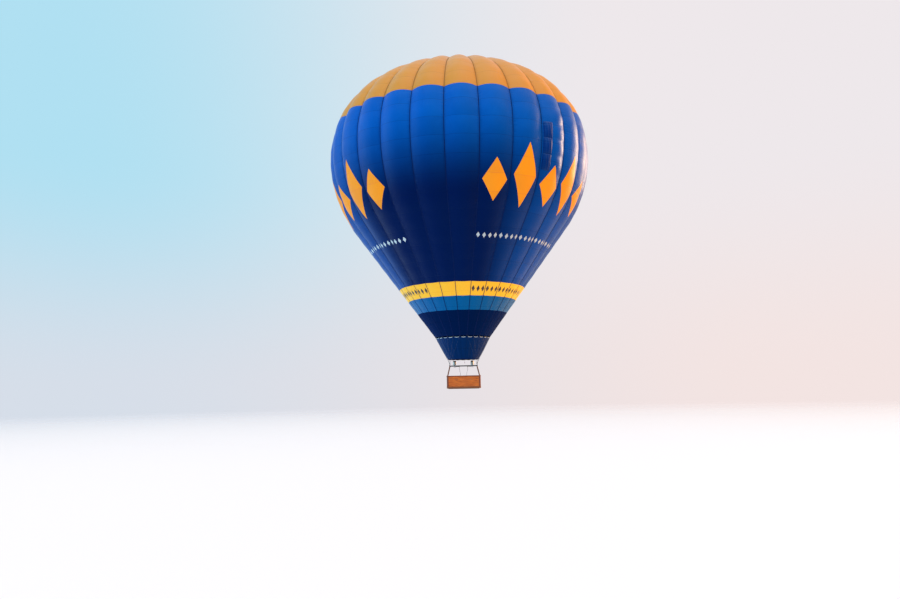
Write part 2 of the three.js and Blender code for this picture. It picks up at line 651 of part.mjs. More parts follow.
addPart('rim_padding', rimRing(), leather);

const insideX = BASKET_LENGTH / 2 - WALL - SEAT;
const insideY = BASKET_WIDTH / 2 - WALL - SEAT;
const partitionTop = WALL_TOP - PARTITION_BELOW_WALL;
const partitionMiddle = (wallBottom + partitionTop) / 2;
const partitionHeight = partitionTop - wallBottom;
const centreWallLength = insideX - PARTITION_X;
for (const side of sides) {
  const wallX = side.x * PARTITION_X;
  const centreX = side.x * (PARTITION_X + centreWallLength / 2);
  const padLength = centreWallLength - PARTITION_PAD.fromWall;
  const padX = centreX - side.x * PARTITION_PAD.fromWall / 2;
  const padHeight = partitionTop - PARTITION_PAD.height / 2;
  const padWidth = 2 * (insideY - PARTITION_PAD.fromWall);
  addPart(`partition_${side.name}`, join(
    box(PARTITION, 2 * insideY, partitionHeight, [wallX, 0, partitionMiddle]),
    box(centreWallLength, PARTITION, partitionHeight, [centreX, 0, partitionMiddle]),
    box(PARTITION_PAD.width, padWidth, PARTITION_PAD.height, [wallX, 0, padHeight]),
    box(padLength, PARTITION_PAD.width, PARTITION_PAD.height, [padX, 0, padHeight]),
  ), wicker);
}

// Fuel cylinders in padded jackets, one in each corner of the middle bay, and a hose from each.
for (const corner of corners) {
  const x = corner.x * CYLINDER_X;
  const y = corner.y * CYLINDER_Y;
  const outline = [
    // radius, height above the floor
    [0, 0], [CYLINDER_RADIUS - 12, 0], [CYLINDER_RADIUS, 14], [CYLINDER_RADIUS, CYLINDER_HEIGHT - 90],
    [CYLINDER_RADIUS - 22, CYLINDER_HEIGHT - 40], [95, CYLINDER_HEIGHT], [95, CYLINDER_HEIGHT + 90],
    [84, CYLINDER_HEIGHT + 90], [84, CYLINDER_HEIGHT + 8], [34, CYLINDER_HEIGHT + 8],
    [34, CYLINDER_HEIGHT + CYLINDER_NECK], [0, CYLINDER_HEIGHT + CYLINDER_NECK],
  ];
  const profile = outline.map(([radius, height]) => new THREE.Vector2(radius, height));
  const body = new THREE.LatheGeometry(profile, 16).rotateX(Math.PI / 2);
  addPart(`fuel_cylinder_${corner.name}`, body.translate(x, y, wallBottom), jacket);

  const valveHeight = wallBottom + CYLINDER_HEIGHT + CYLINDER_NECK + SEAT;
  const blockUnder = FRAME_HEIGHT - HOSE_BLOCK.lowered - HOSE_BLOCK.z / 2 - SEAT;
  const blockX = corner.x * FRAME_CROSS_TUBE_X;
  const blockY = corner.y * HOSE_BLOCK.fromMiddle;
  const inX = x + corner.x * HOSE_ROUTE.inward;
  const inY = y - corner.y * HOSE_ROUTE.inward;
  const route = new THREE.CatmullRomCurve3([
    new THREE.Vector3(x, y, valveHeight),
    new THREE.Vector3(x, y, valveHeight + HOSE_ROUTE.start),
    new THREE.Vector3(inX, inY, valveHeight + HOSE_ROUTE.slack),
    new THREE.Vector3(blockX, blockY, blockUnder - HOSE_ROUTE.end),
    new THREE.Vector3(blockX, blockY, blockUnder),
  ]);
  const hoseSection = new THREE.Shape(roundOutline(HOSE_RADIUS, 8));
  const hose = new THREE.ExtrudeGeometry(hoseSection, { steps: 14, bevelEnabled: false, extrudePath: route });
  addPart(`fuel_hose_${corner.name}`, hose, rubber);
}

export default model;
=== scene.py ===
from functools import partialmethod
from math import pi, radians, tan, tau

import bmesh
import bpy
import numpy as np
from mathutils import Matrix, Vector
from numpy import cos, exp, sin


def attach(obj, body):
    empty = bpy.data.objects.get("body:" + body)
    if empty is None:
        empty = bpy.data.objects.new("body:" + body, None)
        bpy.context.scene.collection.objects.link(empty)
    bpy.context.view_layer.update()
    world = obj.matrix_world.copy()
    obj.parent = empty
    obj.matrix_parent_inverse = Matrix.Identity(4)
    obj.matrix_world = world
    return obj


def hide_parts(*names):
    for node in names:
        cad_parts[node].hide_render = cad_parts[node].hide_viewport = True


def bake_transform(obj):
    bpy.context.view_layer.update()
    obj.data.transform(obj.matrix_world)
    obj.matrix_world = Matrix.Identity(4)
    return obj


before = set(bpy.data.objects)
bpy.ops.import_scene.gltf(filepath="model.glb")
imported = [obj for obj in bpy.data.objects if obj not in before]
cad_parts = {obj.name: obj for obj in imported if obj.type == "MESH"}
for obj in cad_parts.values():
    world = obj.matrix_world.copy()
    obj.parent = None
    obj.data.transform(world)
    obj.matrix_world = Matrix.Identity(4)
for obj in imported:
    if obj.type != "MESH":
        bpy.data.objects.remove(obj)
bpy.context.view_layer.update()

bpy.ops.object.select_all(action="DESELECT")

# The view: a camera low in front of the balloon and 65 metres off, tilted seven degrees up, so that the
# basket stands just above the horizon. It leans one degree, as the picture does.
CAMERA_DISTANCE = 64.6
bpy.ops.object.camera_add()
camera = bpy.context.object
camera.name = "camera"
camera.data.lens, camera.data.clip_end = 29.2, 2000
pan, tilt, lean = (radians(angle) for angle in (0.95, 96.99, -1.12))
camera.matrix_world = (
    Matrix.Translation((0, -CAMERA_DISTANCE, 0)) @ Matrix.Rotation(pan, 4, "Z")
    @ Matrix.Rotation(tilt, 4, "X") @ Matrix.Rotation(lean, 4, "Z"))
bpy.context.scene.camera = camera
bpy.context.scene.view_settings.view_transform = "Standard"


# Surfaces: a Finish is one material. A number that changes over it is an Amount, and arithmetic on Amounts
# adds the Math nodes. Colours are given as they look, from 0 to 255.
class Amount:
    def __init__(self, finish, socket):
        self.finish, self.socket = finish, socket

    def math(self, operation, *others):
        return self.finish.math(operation, self, *others)

    def __rsub__(self, other):
        return self.finish.math("SUBTRACT", other, self)

    __add__ = __radd__ = partialmethod(math, "ADD")
    __sub__ = partialmethod(math, "SUBTRACT")
    __mul__ = __rmul__ = partialmethod(math, "MULTIPLY")
    __truediv__ = partialmethod(math, "DIVIDE")
    __mod__ = partialmethod(math, "MODULO")
    __pow__ = partialmethod(math, "POWER")
    __lt__ = partialmethod(math, "LESS_THAN")
    __gt__ = partialmethod(math, "GREATER_THAN")
    __abs__ = partialmethod(math, "ABSOLUTE")
    floor, fract = partialmethod(math, "FLOOR"), partialmethod(math, "FRACT")
    least, most = partialmethod(math, "MINIMUM"), partialmethod(math, "MAXIMUM")
    sine, angle_over = partialmethod(math, "SINE"), partialmethod(math, "ARCTAN2")


def seen(red, green, blue):
    """A colour as it looks on a screen, turned into the light that it stands for."""
    return (*(((v / 255 + 0.055) / 1.055) ** 2.4 if v > 10 else v / 3294 for v in (red, green, blue)), 1)


class Nodes:
    def __init__(self, tree):
        self.tree = tree

    def feed(self, socket, value):
        if isinstance(value, Amount):
            value = value.socket
        if isinstance(value, bpy.types.NodeSocket):
            self.tree.links.new(value, socket)
        else:
            socket.default_value = seen(*value) if isinstance(value, tuple) else value

    def node(self, kind, settings=None, inputs=None):
        made = self.tree.nodes.new("ShaderNode" + kind)
        for name, value in (settings or {}).items():
            setattr(made, name, value)
        for name, value in (inputs or {}).items():
            self.feed(made.inputs[name], value)
        return made

    def amount(self, kind, settings=None, inputs=None, output=0):
        return Amount(self, self.node(kind, settings, inputs).outputs[output])

    def math(self, operation, *values):
        return self.amount("Math", {"operation": operation}, dict(enumerate(values)))

    def mix(self, first, second, share):
        return self.node("Mix", {"data_type": "RGBA"}, {0: share, 6: first, 7: second}).outputs[2]

    def place(self, source="Object"):
        """The point's place as a vector and as three Amounts."""
        vector = self.node("TexCoord").outputs[source]
        split = self.node("SeparateXYZ", inputs={0: vector}).outputs
        return vector, *(Amount(self, split[i]) for i in range(3))

    def vector(self, x, y, z=0.0):
        return self.node("CombineXYZ", inputs={0: x, 1: y, 2: z}).outputs[0]

    def noise(self, vector, scale, detail=3.0):
        return self.amount("TexNoise", inputs={"Vector": vector, "Scale": scale, "Detail": detail})

    def cells(self, vector, scale):
        return self.amount("TexVoronoi", inputs={"Vector": vector, "Scale": scale}, output="Distance")

    def between(self, amount, low, high):
        """0 below low, 1 above high, and a smooth climb from one to the other."""
        return self.amount("MapRange", {"interpolation_type": "SMOOTHSTEP"}, {0: amount, 1: low, 2: high})


class Finish(Nodes):
    def __init__(self, name, colour, roughness, **shader):
        self.material = bpy.data.materials.new(name)
        self.material.use_nodes = True
        super().__init__(self.material.node_tree)
        self.shader = self.tree.nodes["Principled BSDF"]
        self.set(Base_Color=colour, Roughness=roughness, **shader)

    def set(self, **sockets):
        for socket, value in sockets.items():
            self.feed(self.shader.inputs[socket.replace("_", " ")], value)

    def bump(self, height, depth, strength):
        self.set(Normal=self.node(
            "Bump", inputs={"Height": height, "Distance": depth, "Strength": strength}).outputs[0])


# The studio: a pale floor just below, which fades into the sky a few metres in front of the camera, so that
# no horizon shows. The sky lights the balloon softly, cool from the left and warm from the right.
bpy.ops.mesh.primitive_plane_add(size=300, location=(0, -CAMERA_DISTANCE, -0.3))
floor = bpy.context.object
floor.name = "floor"
floor_finish = Finish("pale_floor", (236, 232, 234), 0.9)
_, floor_x, floor_y, _ = floor_finish.place()
from_camera = (floor_x * floor_x + floor_y * floor_y) ** 0.5
floor_finish.set(Alpha=1 - floor_finish.between(from_camera, 2.0, 14.0))
floor.data.materials.append(floor_finish.material)

world = bpy.data.worlds.new("studio")
bpy.context.scene.world = world
world.use_nodes = True
sky = Nodes(world.node_tree)
_, east, north, up = sky.place("Generated")
high_up = sky.mix((176, 224, 242), (238, 232, 235), sky.between(east, -0.48, 0.22))
low_down = sky.mix((214, 222, 233), (243, 228, 226), sky.between(east, -0.5, 0.4))
tint = sky.mix(low_down, high_up, sky.between(up, 0.0, 0.3))
glow = sky.mix((186, 220, 240), (255, 200, 146), sky.between(east, 0.10, 0.75))
power = (0.66 + 0.34 * sky.between(north, -0.8, 0.4)) * (
    0.85 + 0.35 * sky.between(up, 0.1, 0.9) + 0.75 * sky.between(up * -1.0, -0.1, 0.7))
seen_directly = sky.node("LightPath").outputs["Is Camera Ray"]
lit = sky.node("Background", inputs={0: glow, 1: power}).outputs[0]
shown = sky.node("Background", inputs={0: tint}).outputs[0]
both = sky.node("MixShader", inputs={0: seen_directly, 1: lit, 2: shown}).outputs[0]
sky.feed(world.node_tree.nodes["World Output"].inputs[0], both)

for name, energy, colour, softness, way in (
    # the lamp's name, strength, colour, how soft it is, and the way it points, in degrees
    ("lamp_right", 2.5, (1.0, 0.64, 0.40), 22, (76, 0, 128)),
    ("lamp_left", 0.8, (0.45, 0.85, 1.0), 50, (80, 0, -82)),
    ("lamp_above", 1.6, (0.94, 0.97, 1.0), 80, (34, 0, 20)),
):
    bpy.ops.object.light_add(type="SUN", rotation=[radians(angle) for angle in way])
    bpy.context.object.name = name
    lamp = bpy.context.object.data
    lamp.energy, lamp.color, lamp.angle = energy, colour, radians(softness)


# The envelope: 26 gores of coated nylon, sewn edge to edge at load tapes. Hot air makes each gore bulge
# out between its tapes. Its colours change at horizontal seams, so it is made ring by ring.
GORES = 26
FIRST_TAPE = radians(-5.6)
MOUTH_RADIUS, EQUATOR_RADIUS, EQUATOR_HEIGHT = 2.41, 11.56, 20.48
LOWER_ARC, UPPER_ARC, UPPER_END = 10.94, 7.57, radians(57)
CONE = radians(36.5)
LOBE_DEPTH = 0.37
CONE_TOP_RADIUS = EQUATOR_RADIUS - LOWER_ARC * (1 - cos(CONE))
CONE_SLANT = (CONE_TOP_RADIUS - MOUTH_RADIUS) / sin(CONE)
MOUTH_HEIGHT = EQUATOR_HEIGHT - LOWER_ARC * sin(CONE) - CONE_SLANT * cos(CONE)
UPPER_CENTRE = EQUATOR_RADIUS - UPPER_ARC
CROWN_ARC = UPPER_ARC + UPPER_CENTRE / cos(UPPER_END)
CROWN_CENTRE = EQUATOR_HEIGHT - UPPER_CENTRE * tan(UPPER_END)
SHOULDER = CONE_SLANT + LOWER_ARC * CONE
CROWN_START = SHOULDER + UPPER_ARC * UPPER_END
GOLD_FROM, VENT_EDGE = 21.68, 31.64
PANEL_HEIGHT = 1.45


def meridian(distance):
    """Radius, height and slope at metres along the ridge of a gore from the mouth."""
    slope = np.full(np.shape(distance), -CONE)
    radius = MOUTH_RADIUS + distance * sin(CONE)
    height = MOUTH_HEIGHT + distance * cos(CONE)
    for start, arc, first, centre_radius, centre_height in (
        (CONE_SLANT, LOWER_ARC, -CONE, EQUATOR_RADIUS - LOWER_ARC, EQUATOR_HEIGHT),
        (SHOULDER, UPPER_ARC, 0, UPPER_CENTRE, EQUATOR_HEIGHT),
        (CROWN_START, CROWN_ARC, UPPER_END, 0, CROWN_CENTRE),
    ):
        here = distance > start
        turn = first + (distance - start) / arc
        slope = np.where(here, turn, slope)
        radius = np.where(here, centre_radius + arc * cos(turn), radius)
        height = np.where(here, centre_height + arc * sin(turn), height)
    return radius, height, slope


def arch(across):
    """1 in the middle of a gore and 0 at its tapes. across counts gores round from the first tape."""
    share = np.mod(across, 1)
    return 4 * share * (1 - share)


def tape_turn(across):
    return FIRST_TAPE + across * tau / GORES


def on_gores(distance, across, out):
    """Points on the envelope, or off its cloth by out."""
    radius, height, slope = meridian(distance)
    rise = np.clip((height - MOUTH_HEIGHT) / (EQUATOR_HEIGHT - MOUTH_HEIGHT), 0, 1)
    inward = LOBE_DEPTH * radius / EQUATOR_RADIUS * rise * (1 - arch(across)) - out
    turn = tape_turn(across)
    radius = radius - inward * cos(slope)
    return np.stack([radius * sin(turn), -radius * cos(turn), height - inward * sin(slope)], -1)


def together(*numbers):
    return np.stack(numbers, -1)


def smooth(degrees):
    """Shades the active piece smooth where its faces meet at under so many degrees."""
    bpy.ops.object.shade_smooth_by_angle(angle=radians(degrees))


def mode(name):
    bpy.ops.object.mode_set(mode=name)


def mend(near=0.0, holes=False, outward=True):
    """Merges the active piece's near points, closes its ends, and turns its faces outward."""
    mode("EDIT")
    bpy.ops.mesh.select_all(action="SELECT")
    if near:
        bpy.ops.mesh.remove_doubles(threshold=near)
    if holes:
        bpy.ops.mesh.fill_holes(sides=8)
    if outward:
        bpy.ops.mesh.normals_make_consistent(inside=False)
    mode("OBJECT")


def added(make, **settings):
    """One of Blender's simple shapes as a piece of its own, unmoved and unturned."""
    bpy.ops.object.select_all(action="DESELECT")
    make(**settings)
    bpy.ops.object.transform_apply(location=True, rotation=True, scale=True)
    return bpy.context.object


def cloth(name, columns, rows, shape, thickness=0.004, closed=False):
    """A grid laid on a surface and given its thickness inwards. shape turns u and v, from 0 to 1, into
    points and UVs. closed merges the grid's ends where they meet."""
    made = added(bpy.ops.mesh.primitive_grid_add, x_subdivisions=columns, y_subdivisions=rows, size=1)
    made.name = name
    mesh = made.data
    flat = np.empty(len(mesh.vertices) * 3)
    mesh.vertices.foreach_get("co", flat)
    flat = flat.reshape(-1, 3) + 0.5
    points, uvs = shape(flat[:, 0], flat[:, 1])
    mesh.vertices.foreach_set("co", points.ravel())
    corner = np.empty(len(mesh.loops), int)
    mesh.loops.foreach_get("vertex_index", corner)
    mesh.uv_layers[0].data.foreach_set("uv", uvs[corner].ravel())
    mesh.update()
    if closed:
        mend(near=0.0005, outward=False)
    if thickness:
        wall = made.modifiers.new("wall", "SOLIDIFY")
        wall.thickness, wall.offset = thickness, -1
        bpy.ops.object.modifier_apply(modifier="wall")
    smooth(36)
    return made


def fit(piece, finish, body, slot, *nodes):
    """Gives a piece its finish, fixes it to a body, and lets it stand for the plain solids named."""
    piece.data.materials.clear()
    piece.data.materials.append(finish.material)
    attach(piece, body)
    if nodes:
        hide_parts(*nodes)


def coated_nylon(name, colour, painted_shade_colour, seam, gloss=0.5, motif=None):
    """Ripstop nylon: colour at the top of a panel ring, painted shade low down that gives way to painted
    light on its sides, and seam along its sewn edges. Its orange and yellow cloth has a painted glow, for the
    daylight that comes through it."""
    made = Finish(name, colour, 0.3, Specular_IOR_Level=gloss, Specular_Tint=(90, 190, 240))
    _, across, along, _ = made.place("UV")
    _, x, y, height = made.place()
    # Painted light on the envelope's sides, strongest towards +x, which holds back the painted shade below.
    rightwards = x / (x * x + y * y) ** 0.5
    painted_side_light = made.between(rightwards, 0.2, 0.95) * 0.8 + made.between(rightwards * -1.0, 0.7, 1.0) * 0.6
    gore, share = across.floor(), across.fract()
    edge = share.least(1 - share)
    panel = along / PANEL_HEIGHT
    row = panel.fract()
    odd = made.amount("TexWhiteNoise", {"noise_dimensions": "2D"},
                      {"Vector": made.vector(gore, panel.floor())}, "Value")
    mottle = made.noise(made.vector(across * 1.6, along * 0.5), 2.0)
    # Painted shade: below 21.5 m the colour darkens towards the shade colour, less so on the sides.
    base = made.mix(colour, painted_shade_colour, made.between(21.5 - height, 0.0, 6.5) * (1 - painted_side_light))
    group = gore % 9.0
    marked = (group > 0.5) * (group < 5.5)

    def diamonds(sideways, wide, level, tall):
        return (abs(sideways - 0.5) / wide + abs(along - level) / tall < 1.0) * marked

    if motif == "lozenges":
        long_one = gore % 2.0 < 0.5
        lozenge = diamonds(share, 0.40, 14.0 + 0.5 * long_one, 1.7 + 0.9 * long_one)
        dot = diamonds((share * 4).fract(), 0.30, 9.4, 0.24)
        base = made.mix(made.mix(base, (255, 156, 20), lozenge), (232, 234, 238), dot)
        # Painted glow: the orange lozenges give off a little light of their own.
        made.set(Emission_Color=made.mix((0, 0, 0), (255, 140, 10), lozenge), Emission_Strength=0.3)
    elif motif == "band":
        dot = diamonds((share * 3).fract(), 0.34, 4.58, 0.30)
        base = made.mix(base, (20, 34, 70), dot)
        # Painted glow: the yellow band gives off a little light of its own, except at its dots.
        made.set(Emission_Color=made.mix((255, 176, 40), (0, 0, 0), dot), Emission_Strength=0.32)
    base = made.mix(base, painted_shade_colour, odd * 0.10 + mottle * 0.16)
    stitched = (abs(row - 0.5) > 0.488) * 0.3
    # Darker towards the tapes: partly the seam colour, partly painted shade in the valleys between the lobes.
    wear_and_shade = made.between(0.085 - edge, 0.0, 0.085) * 0.22
    sheen = made.noise(made.vector(across * 3, along), 1.4)
    made.set(Base_Color=made.mix(base, seam, stitched.most(wear_and_shade)),
             Roughness=0.28 + max(0.0, 0.15 - gloss) * 3 + 0.14 * sheen)
    pulled = made.noise(made.vector(across * 2.0, along * 2.6), 2.2) * made.between(0.2 - edge, 0.0, 0.2)
    slack = made.noise(made.vector(across * 1.3, along * 0.6), 1.1)
    fold = made.between(abs(row - 0.5), 0.46, 0.5)
    grid = ((across * 300).fract() > 0.86).most((along * 110).fract() > 0.86)
    made.bump(pulled * 1.2 + slack * 1.0 - fold * 0.15 + grid * 0.02, 0.05, 0.7)
    return made


# The second colour of each cloth is its painted shade, low on the envelope.
GOLD, GOLD_PAINTED_SHADE, GOLD_SEAM = (230, 150, 54), (212, 134, 44), (150, 92, 36)
BLUE, BLUE_PAINTED_SHADE, BLUE_SEAM = (0, 98, 200), (0, 15, 78), (0, 16, 74)
blue_look = (BLUE, BLUE_PAINTED_SHADE, BLUE_SEAM, 0.18, "lozenges")
VENT_LOW, VENT_HIGH, VENT_PILLOWS = 15.163, 19.073, 3
VENT_NEAR, VENT_FAR = 0.04, 0.31
VENT_TAPES = (("right", 3), ("left", 16))
rings = (
    # the ring, the CAD node it replaces, its seams along the meridian, its slot and its cloth: colour,
    # painted shade colour, seam colour, gloss and motif, if any
    ("heat_cloth", "heat_panels", 0.0, 2.56, "heat_fabric", ((0, 34, 92), (0, 26, 74), (0, 10, 36), 0.04)),
    ("strip_cloth", "lower_strip", 2.56, 3.92, "teal_fabric",
     ((0, 106, 170), (0, 96, 160), (0, 50, 100), 0.3)),
    ("yellow_cloth", "yellow_band", 3.92, 5.25, "yellow_fabric",
     ((255, 198, 54), (252, 186, 44), (200, 130, 24), 0.2, "band")),
    ("blue_cloth_lower", "blue_panels_lower", 5.25, 13.86, "blue_fabric", blue_look),
    ("blue_cloth_upper", "blue_panels_upper", 13.86, GOLD_FROM, "blue_fabric", blue_look),
    ("crown_cloth", "crown_panels", GOLD_FROM, VENT_EDGE, "gold_fabric", (GOLD, GOLD_PAINTED_SHADE, GOLD_SEAM, 0.2)),
)
for name, node, low, high, slot, look in rings:
    def ring_shape(u, v):
        along, across = low + v * (high - low), u * GORES
        gore, share = np.floor(across), np.mod(across, 1)
        from_tape = np.minimum(share, 1 - share)
        puff = 0.018 * sin(pi * along / PANEL_HEIGHT) ** 2 * arch(across)
        near = np.clip(1 - from_tape / 0.22, 0, 1) ** 1.5 * np.clip(from_tape / 0.03, 0, 1)
        pucker = 0.016 * near * sin(along * 7.0 + 5 * sin(2.3 * np.floor(across + 0.5)))
        pucker = pucker * np.clip(along / 6, 0, 1)
        row = VENT_PILLOWS * (along - VENT_LOW) / (VENT_HIGH - VENT_LOW)
        beside = np.clip((share - VENT_FAR - 0.04) / (0.96 - VENT_FAR - 0.04), 0, 1)
        by_vent = np.isin(gore, [tape for _, tape in VENT_TAPES]) * (row > 0) * (row < VENT_PILLOWS + 1)
        bulge = 0.11 * by_vent * sin(pi * beside) ** 0.8 * np.abs(sin(pi * row)) ** 0.7
        return on_gores(along, across, puff + pucker + bulge), together(across, along)

    ring = cloth(name, GORES * 14, round((high - low) / 0.15), ring_shape, closed=True)
    fit(ring, coated_nylon(name + "_nylon", *look), "hull", slot, node)
    girth = tau * float(np.mean(meridian(np.linspace(low, high, 40))[0])) * 1.04

# Turning vents: a long flap in a gore on either side, which the pilot opens to turn the balloon. It is a
# second skin of nylon, held down by seams that cross it, so that it stands out in pillows.
for side, tape in VENT_TAPES:
    def vent_shape(u, v):
        pillow = np.abs(sin(VENT_PILLOWS * pi * v)) ** 0.6 * sin(pi * u) ** 0.5
        ripple = 0.012 * sin(u * 21 + v * 9) * pillow
        along, across = VENT_LOW + v * (VENT_HIGH - VENT_LOW), tape + VENT_NEAR + u * (VENT_FAR - VENT_NEAR)
        return on_gores(along, across, 0.024 + 0.15 * pillow + ripple), together(across, along)

    flap = cloth(f"turning_vent_cloth_{side}", 24, 96, vent_shape)
    # Painted shade: the flap's nylon is a darker blue than the gores' and darkens further low down.
    flap_finish = coated_nylon(f"turning_vent_nylon_{side}", (0, 52, 142), (0, 20, 80), BLUE_SEAM)
    fit(flap, flap_finish, "hull", "blue_fabric", f"turning_vent_{side}")

# Load tapes: 26 strips of webbing sewn over the joins of the gores, from the mouth up to the crown. They
# carry the basket. Past the edge of the vent they cross it in the open, to a webbing ring at the hub.
TAPE_WIDTH = 0.044
HUB_RADIUS, HUB_HEIGHT, HUB_FLATNESS = 0.204, 29.226, 0.15
TAPE_END = CROWN_START + CROWN_ARC * (pi / 2 - UPPER_END) - 0.2


def tape_shape(u, v):
    along = v * TAPE_END
    gore_width = tau * meridian(along)[0] / GORES
    across = (u - 0.5) * np.minimum(TAPE_WIDTH, 0.9 * gore_width) / gore_width
    return on_gores(along, across, 0.004 + 0.006 * np.abs(2 * u - 1)), together(u * TAPE_WIDTH, along)


def repeated(piece, places):
    """The piece's mesh becomes copies of it, one at each place, joined."""
    all_of_it = bmesh.new()
    for place in places:
        copy = piece.data.copy()
        copy.transform(place)
        all_of_it.from_mesh(copy)
        bpy.data.meshes.remove(copy)
    all_of_it.to_mesh(piece.data)
    all_of_it.free()
    return piece


def ring_of(piece, count):
    return repeated(piece, [Matrix.Rotation(tau * number / count, 4, "Z") for number in range(count)])


def webbing(name, colour, light, high=None):
    """Woven tape: fine cross ribs and a little wear. high is its colour above the gold seam."""
    made = Finish(name, colour, 0.8, Specular_IOR_Level=0.15)
    _, across, along, _ = made.place("UV")
    wear_and_shade = made.noise(made.vector(across * 8, along), 1.3)
    base = made.mix(colour, light, made.between(wear_and_shade, 0.45, 0.75) * 0.5)
    made.set(Base_Color=made.mix(base, high, along > GOLD_FROM) if high else base)
    made.bump((along * 220).sine() * 0.5 + wear_and_shade, 0.001, 0.4)
    return made


tapes = ring_of(cloth("load_tapes", 2, 128, tape_shape, thickness=0.0025), GORES)
tape_finish = webbing("navy_webbing", (0, 26, 86), (4, 40, 108), (166, 114, 58))
fit(tapes, tape_finish, "hull", "load_tape", "crown_tapes")


def torus(radius, thickness, segments, at, **turned_by):
    return added(bpy.ops.mesh.primitive_torus_add, major_radius=radius, minor_radius=thickness,
                 major_segments=segments, minor_segments=8, location=at, **turned_by)


hub = torus(HUB_RADIUS, 0.034, 78, (0, 0, 0))
hub.name = "tape_hub"
hub.data.transform(Matrix.Translation((0, 0, HUB_HEIGHT)) @ Matrix.Diagonal((1, 1, HUB_FLATNESS, 1)))
smooth(36)
fit(hub, webbing("hub_webbing", (150, 100, 48), (178, 128, 70)), "hull", "load_tape")

# The parachute valve: a disc of nylon under the vent, wider than it, which the hot air presses against the
# tapes. The pilot pulls it down by the red line, which ends over the basket. Lines to its rim steady it.
VALVE_RADIUS = 3.5
GAP_UNDER_TAPES = 0.014


def valve_shape(u, v):
    across, out = u * GORES, v * VALVE_RADIUS
    along = CROWN_START + CROWN_ARC * (np.arccos(np.maximum(out, 0.001) / CROWN_ARC) - UPPER_END)
    hub_dip = 0.06 * np.clip((0.30 - out) / 0.12, 0, 1)
    curl = np.clip(out - 3.40, 0, 1) * 0.6
    return on_gores(along, across, -GAP_UNDER_TAPES - hub_dip - curl), together(across, out)


valve = cloth("valve_cloth", GORES * 8, 44, valve_shape, closed=True)
valve_finish = coated_nylon("valve_nylon", GOLD, GOLD, GOLD_SEAM)
fit(valve, valve_finish, "crown_valve", "gold_fabric", "parachute_valve")


def bar(start, end, radius, sides=6):
    """A thin round bar or taut line from one point to another."""
    start, end = Vector(start), Vector(end)
    made = added(bpy.ops.mesh.primitive_cylinder_add, vertices=sides, radius=radius,
                 depth=(end - start).length, location=(start + end) / 2,
                 rotation=(end - start).to_track_quat("Z", "Y").to_euler())
    smooth(40)
    return made


def rod(x, y, z, radius, sides=6):
    """A bar along one axis: the coordinate that is a pair holds its two ends."""
    start, end = zip(*(value if isinstance(value, tuple) else (value, value) for value in (x, y, z)))
    return bar(start, end, radius, sides)


def alone(piece):
    """Selects one piece and makes it the active one."""
    bpy.ops.object.select_all(action="DESELECT")
    piece.select_set(True)
    bpy.context.view_layer.objects.active = piece


def joined(name, pieces):
    """Several meshes made one piece."""
    alone(pieces[0])
    for piece in pieces:
        piece.select_set(True)
    bpy.ops.object.join()
    pieces[0].name = name
    return pieces[0]


def braid(name, colour):
    """Braided line: fine slanting strands, with a little painted highlight where they stand up."""
    made = Finish(name, colour, 0.6)
    vector, _, _, height = made.place()
    strand = made.noise(vector, 60.0) * 0.5 + (height * 420).sine() * 0.25
    made.set(Base_Color=made.mix(colour, (250, 250, 250), made.between(strand, 0.3, 0.9) * 0.25))
    made.bump(strand, 0.001, 0.5)
    return made


JUNCTION, LINE_RADIUS = (0, 0, 24.6), 0.004
LINE_END_X, LINE_END_Y, LINE_END_Z = 0.12, -0.10, 2.32
lines = [bar((out * sin(turn), -out * cos(turn), height), JUNCTION, LINE_RADIUS)
         for out, height, turns in ((0.30, 29.10, (0.6, 2.7, 4.8)),
                                    (3.1, 28.66, [tape_turn(number) for number in range(0, GORES, 2)]))
         for turn in turns]
fit(joined("shroud_lines", lines), braid("pale_braid", (214, 212, 200)), "crown_valve", "load_tape")
red_line = joined("valve_line", [
    bar(JUNCTION, (LINE_END_X, LINE_END_Y, LINE_END_Z), 0.006),
    rod(LINE_END_X, LINE_END_Y, (LINE_END_Z, LINE_END_Z - 0.10), 0.018, 10)])
fit(red_line, braid("red_braid", (190, 30, 30)), "crown_valve", "load_tape")

# The skirt: dark nylon that hangs from the mouth at the tapes and closes in to an oval hem, which keeps the
# wind off the flame. Its top edge dips between the tapes, so that pale sky shows there, and it is bound.
SKIRT_DROP, SKIRT_DIP = 1.96, 0.095
HEM_HALF_LENGTH, HEM_HALF_WIDTH = 1.34, 1.06
skirt_top = np.array([MOUTH_RADIUS, MOUTH_RADIUS])
skirt_growth = np.array([HEM_HALF_LENGTH, HEM_HALF_WIDTH]) - skirt_top


def on_skirt(across, drop, out):
    """Points on the skirt, at metres below the mouth."""
    level = drop / SKIRT_DROP
    bulge = 0.045 * arch(across) * sin(pi * np.clip(level, 0, 1)) ** 0.7 + out
    half = skirt_top + skirt_growth * level[..., None] + bulge[..., None]
    turn, wave = tape_turn(across), 0.012 * sin(across * 4.1) * level ** 2
    return together(half[..., 0] * sin(turn), -half[..., 1] * cos(turn), MOUTH_HEIGHT - drop + wave)


def skirt_edge(across, below):
    return below + SKIRT_DIP * np.sqrt(arch(across))


def skirt_shape(u, v):
    across = u * GORES
    share = np.mod(across, 1)
    drop = SKIRT_DROP - v * (SKIRT_DROP - skirt_edge(across, 0.002))
    crease = 0.006 * sin(11 * share + 6 * v + np.floor(across)) * sin(pi * v) * sin(pi * share)
    return on_skirt(across, drop, crease), together(across, SKIRT_DROP - drop + 60)


def binding(name, drop_at, rise):
    """A folded tape sewn round an edge of the skirt."""
    def shape(u, v):
        across, turn = u * GORES, v * tau
        drop = drop_at(across) - rise * sin(turn)
        return on_skirt(across, drop, 0.006 * cos(turn) - 0.002), together(across, turn)
    return cloth(name, GORES * 8, 6, shape, thickness=0, closed=True)


skirt = cloth("skirt_cloth", GORES * 12, 26, skirt_shape, closed=True)
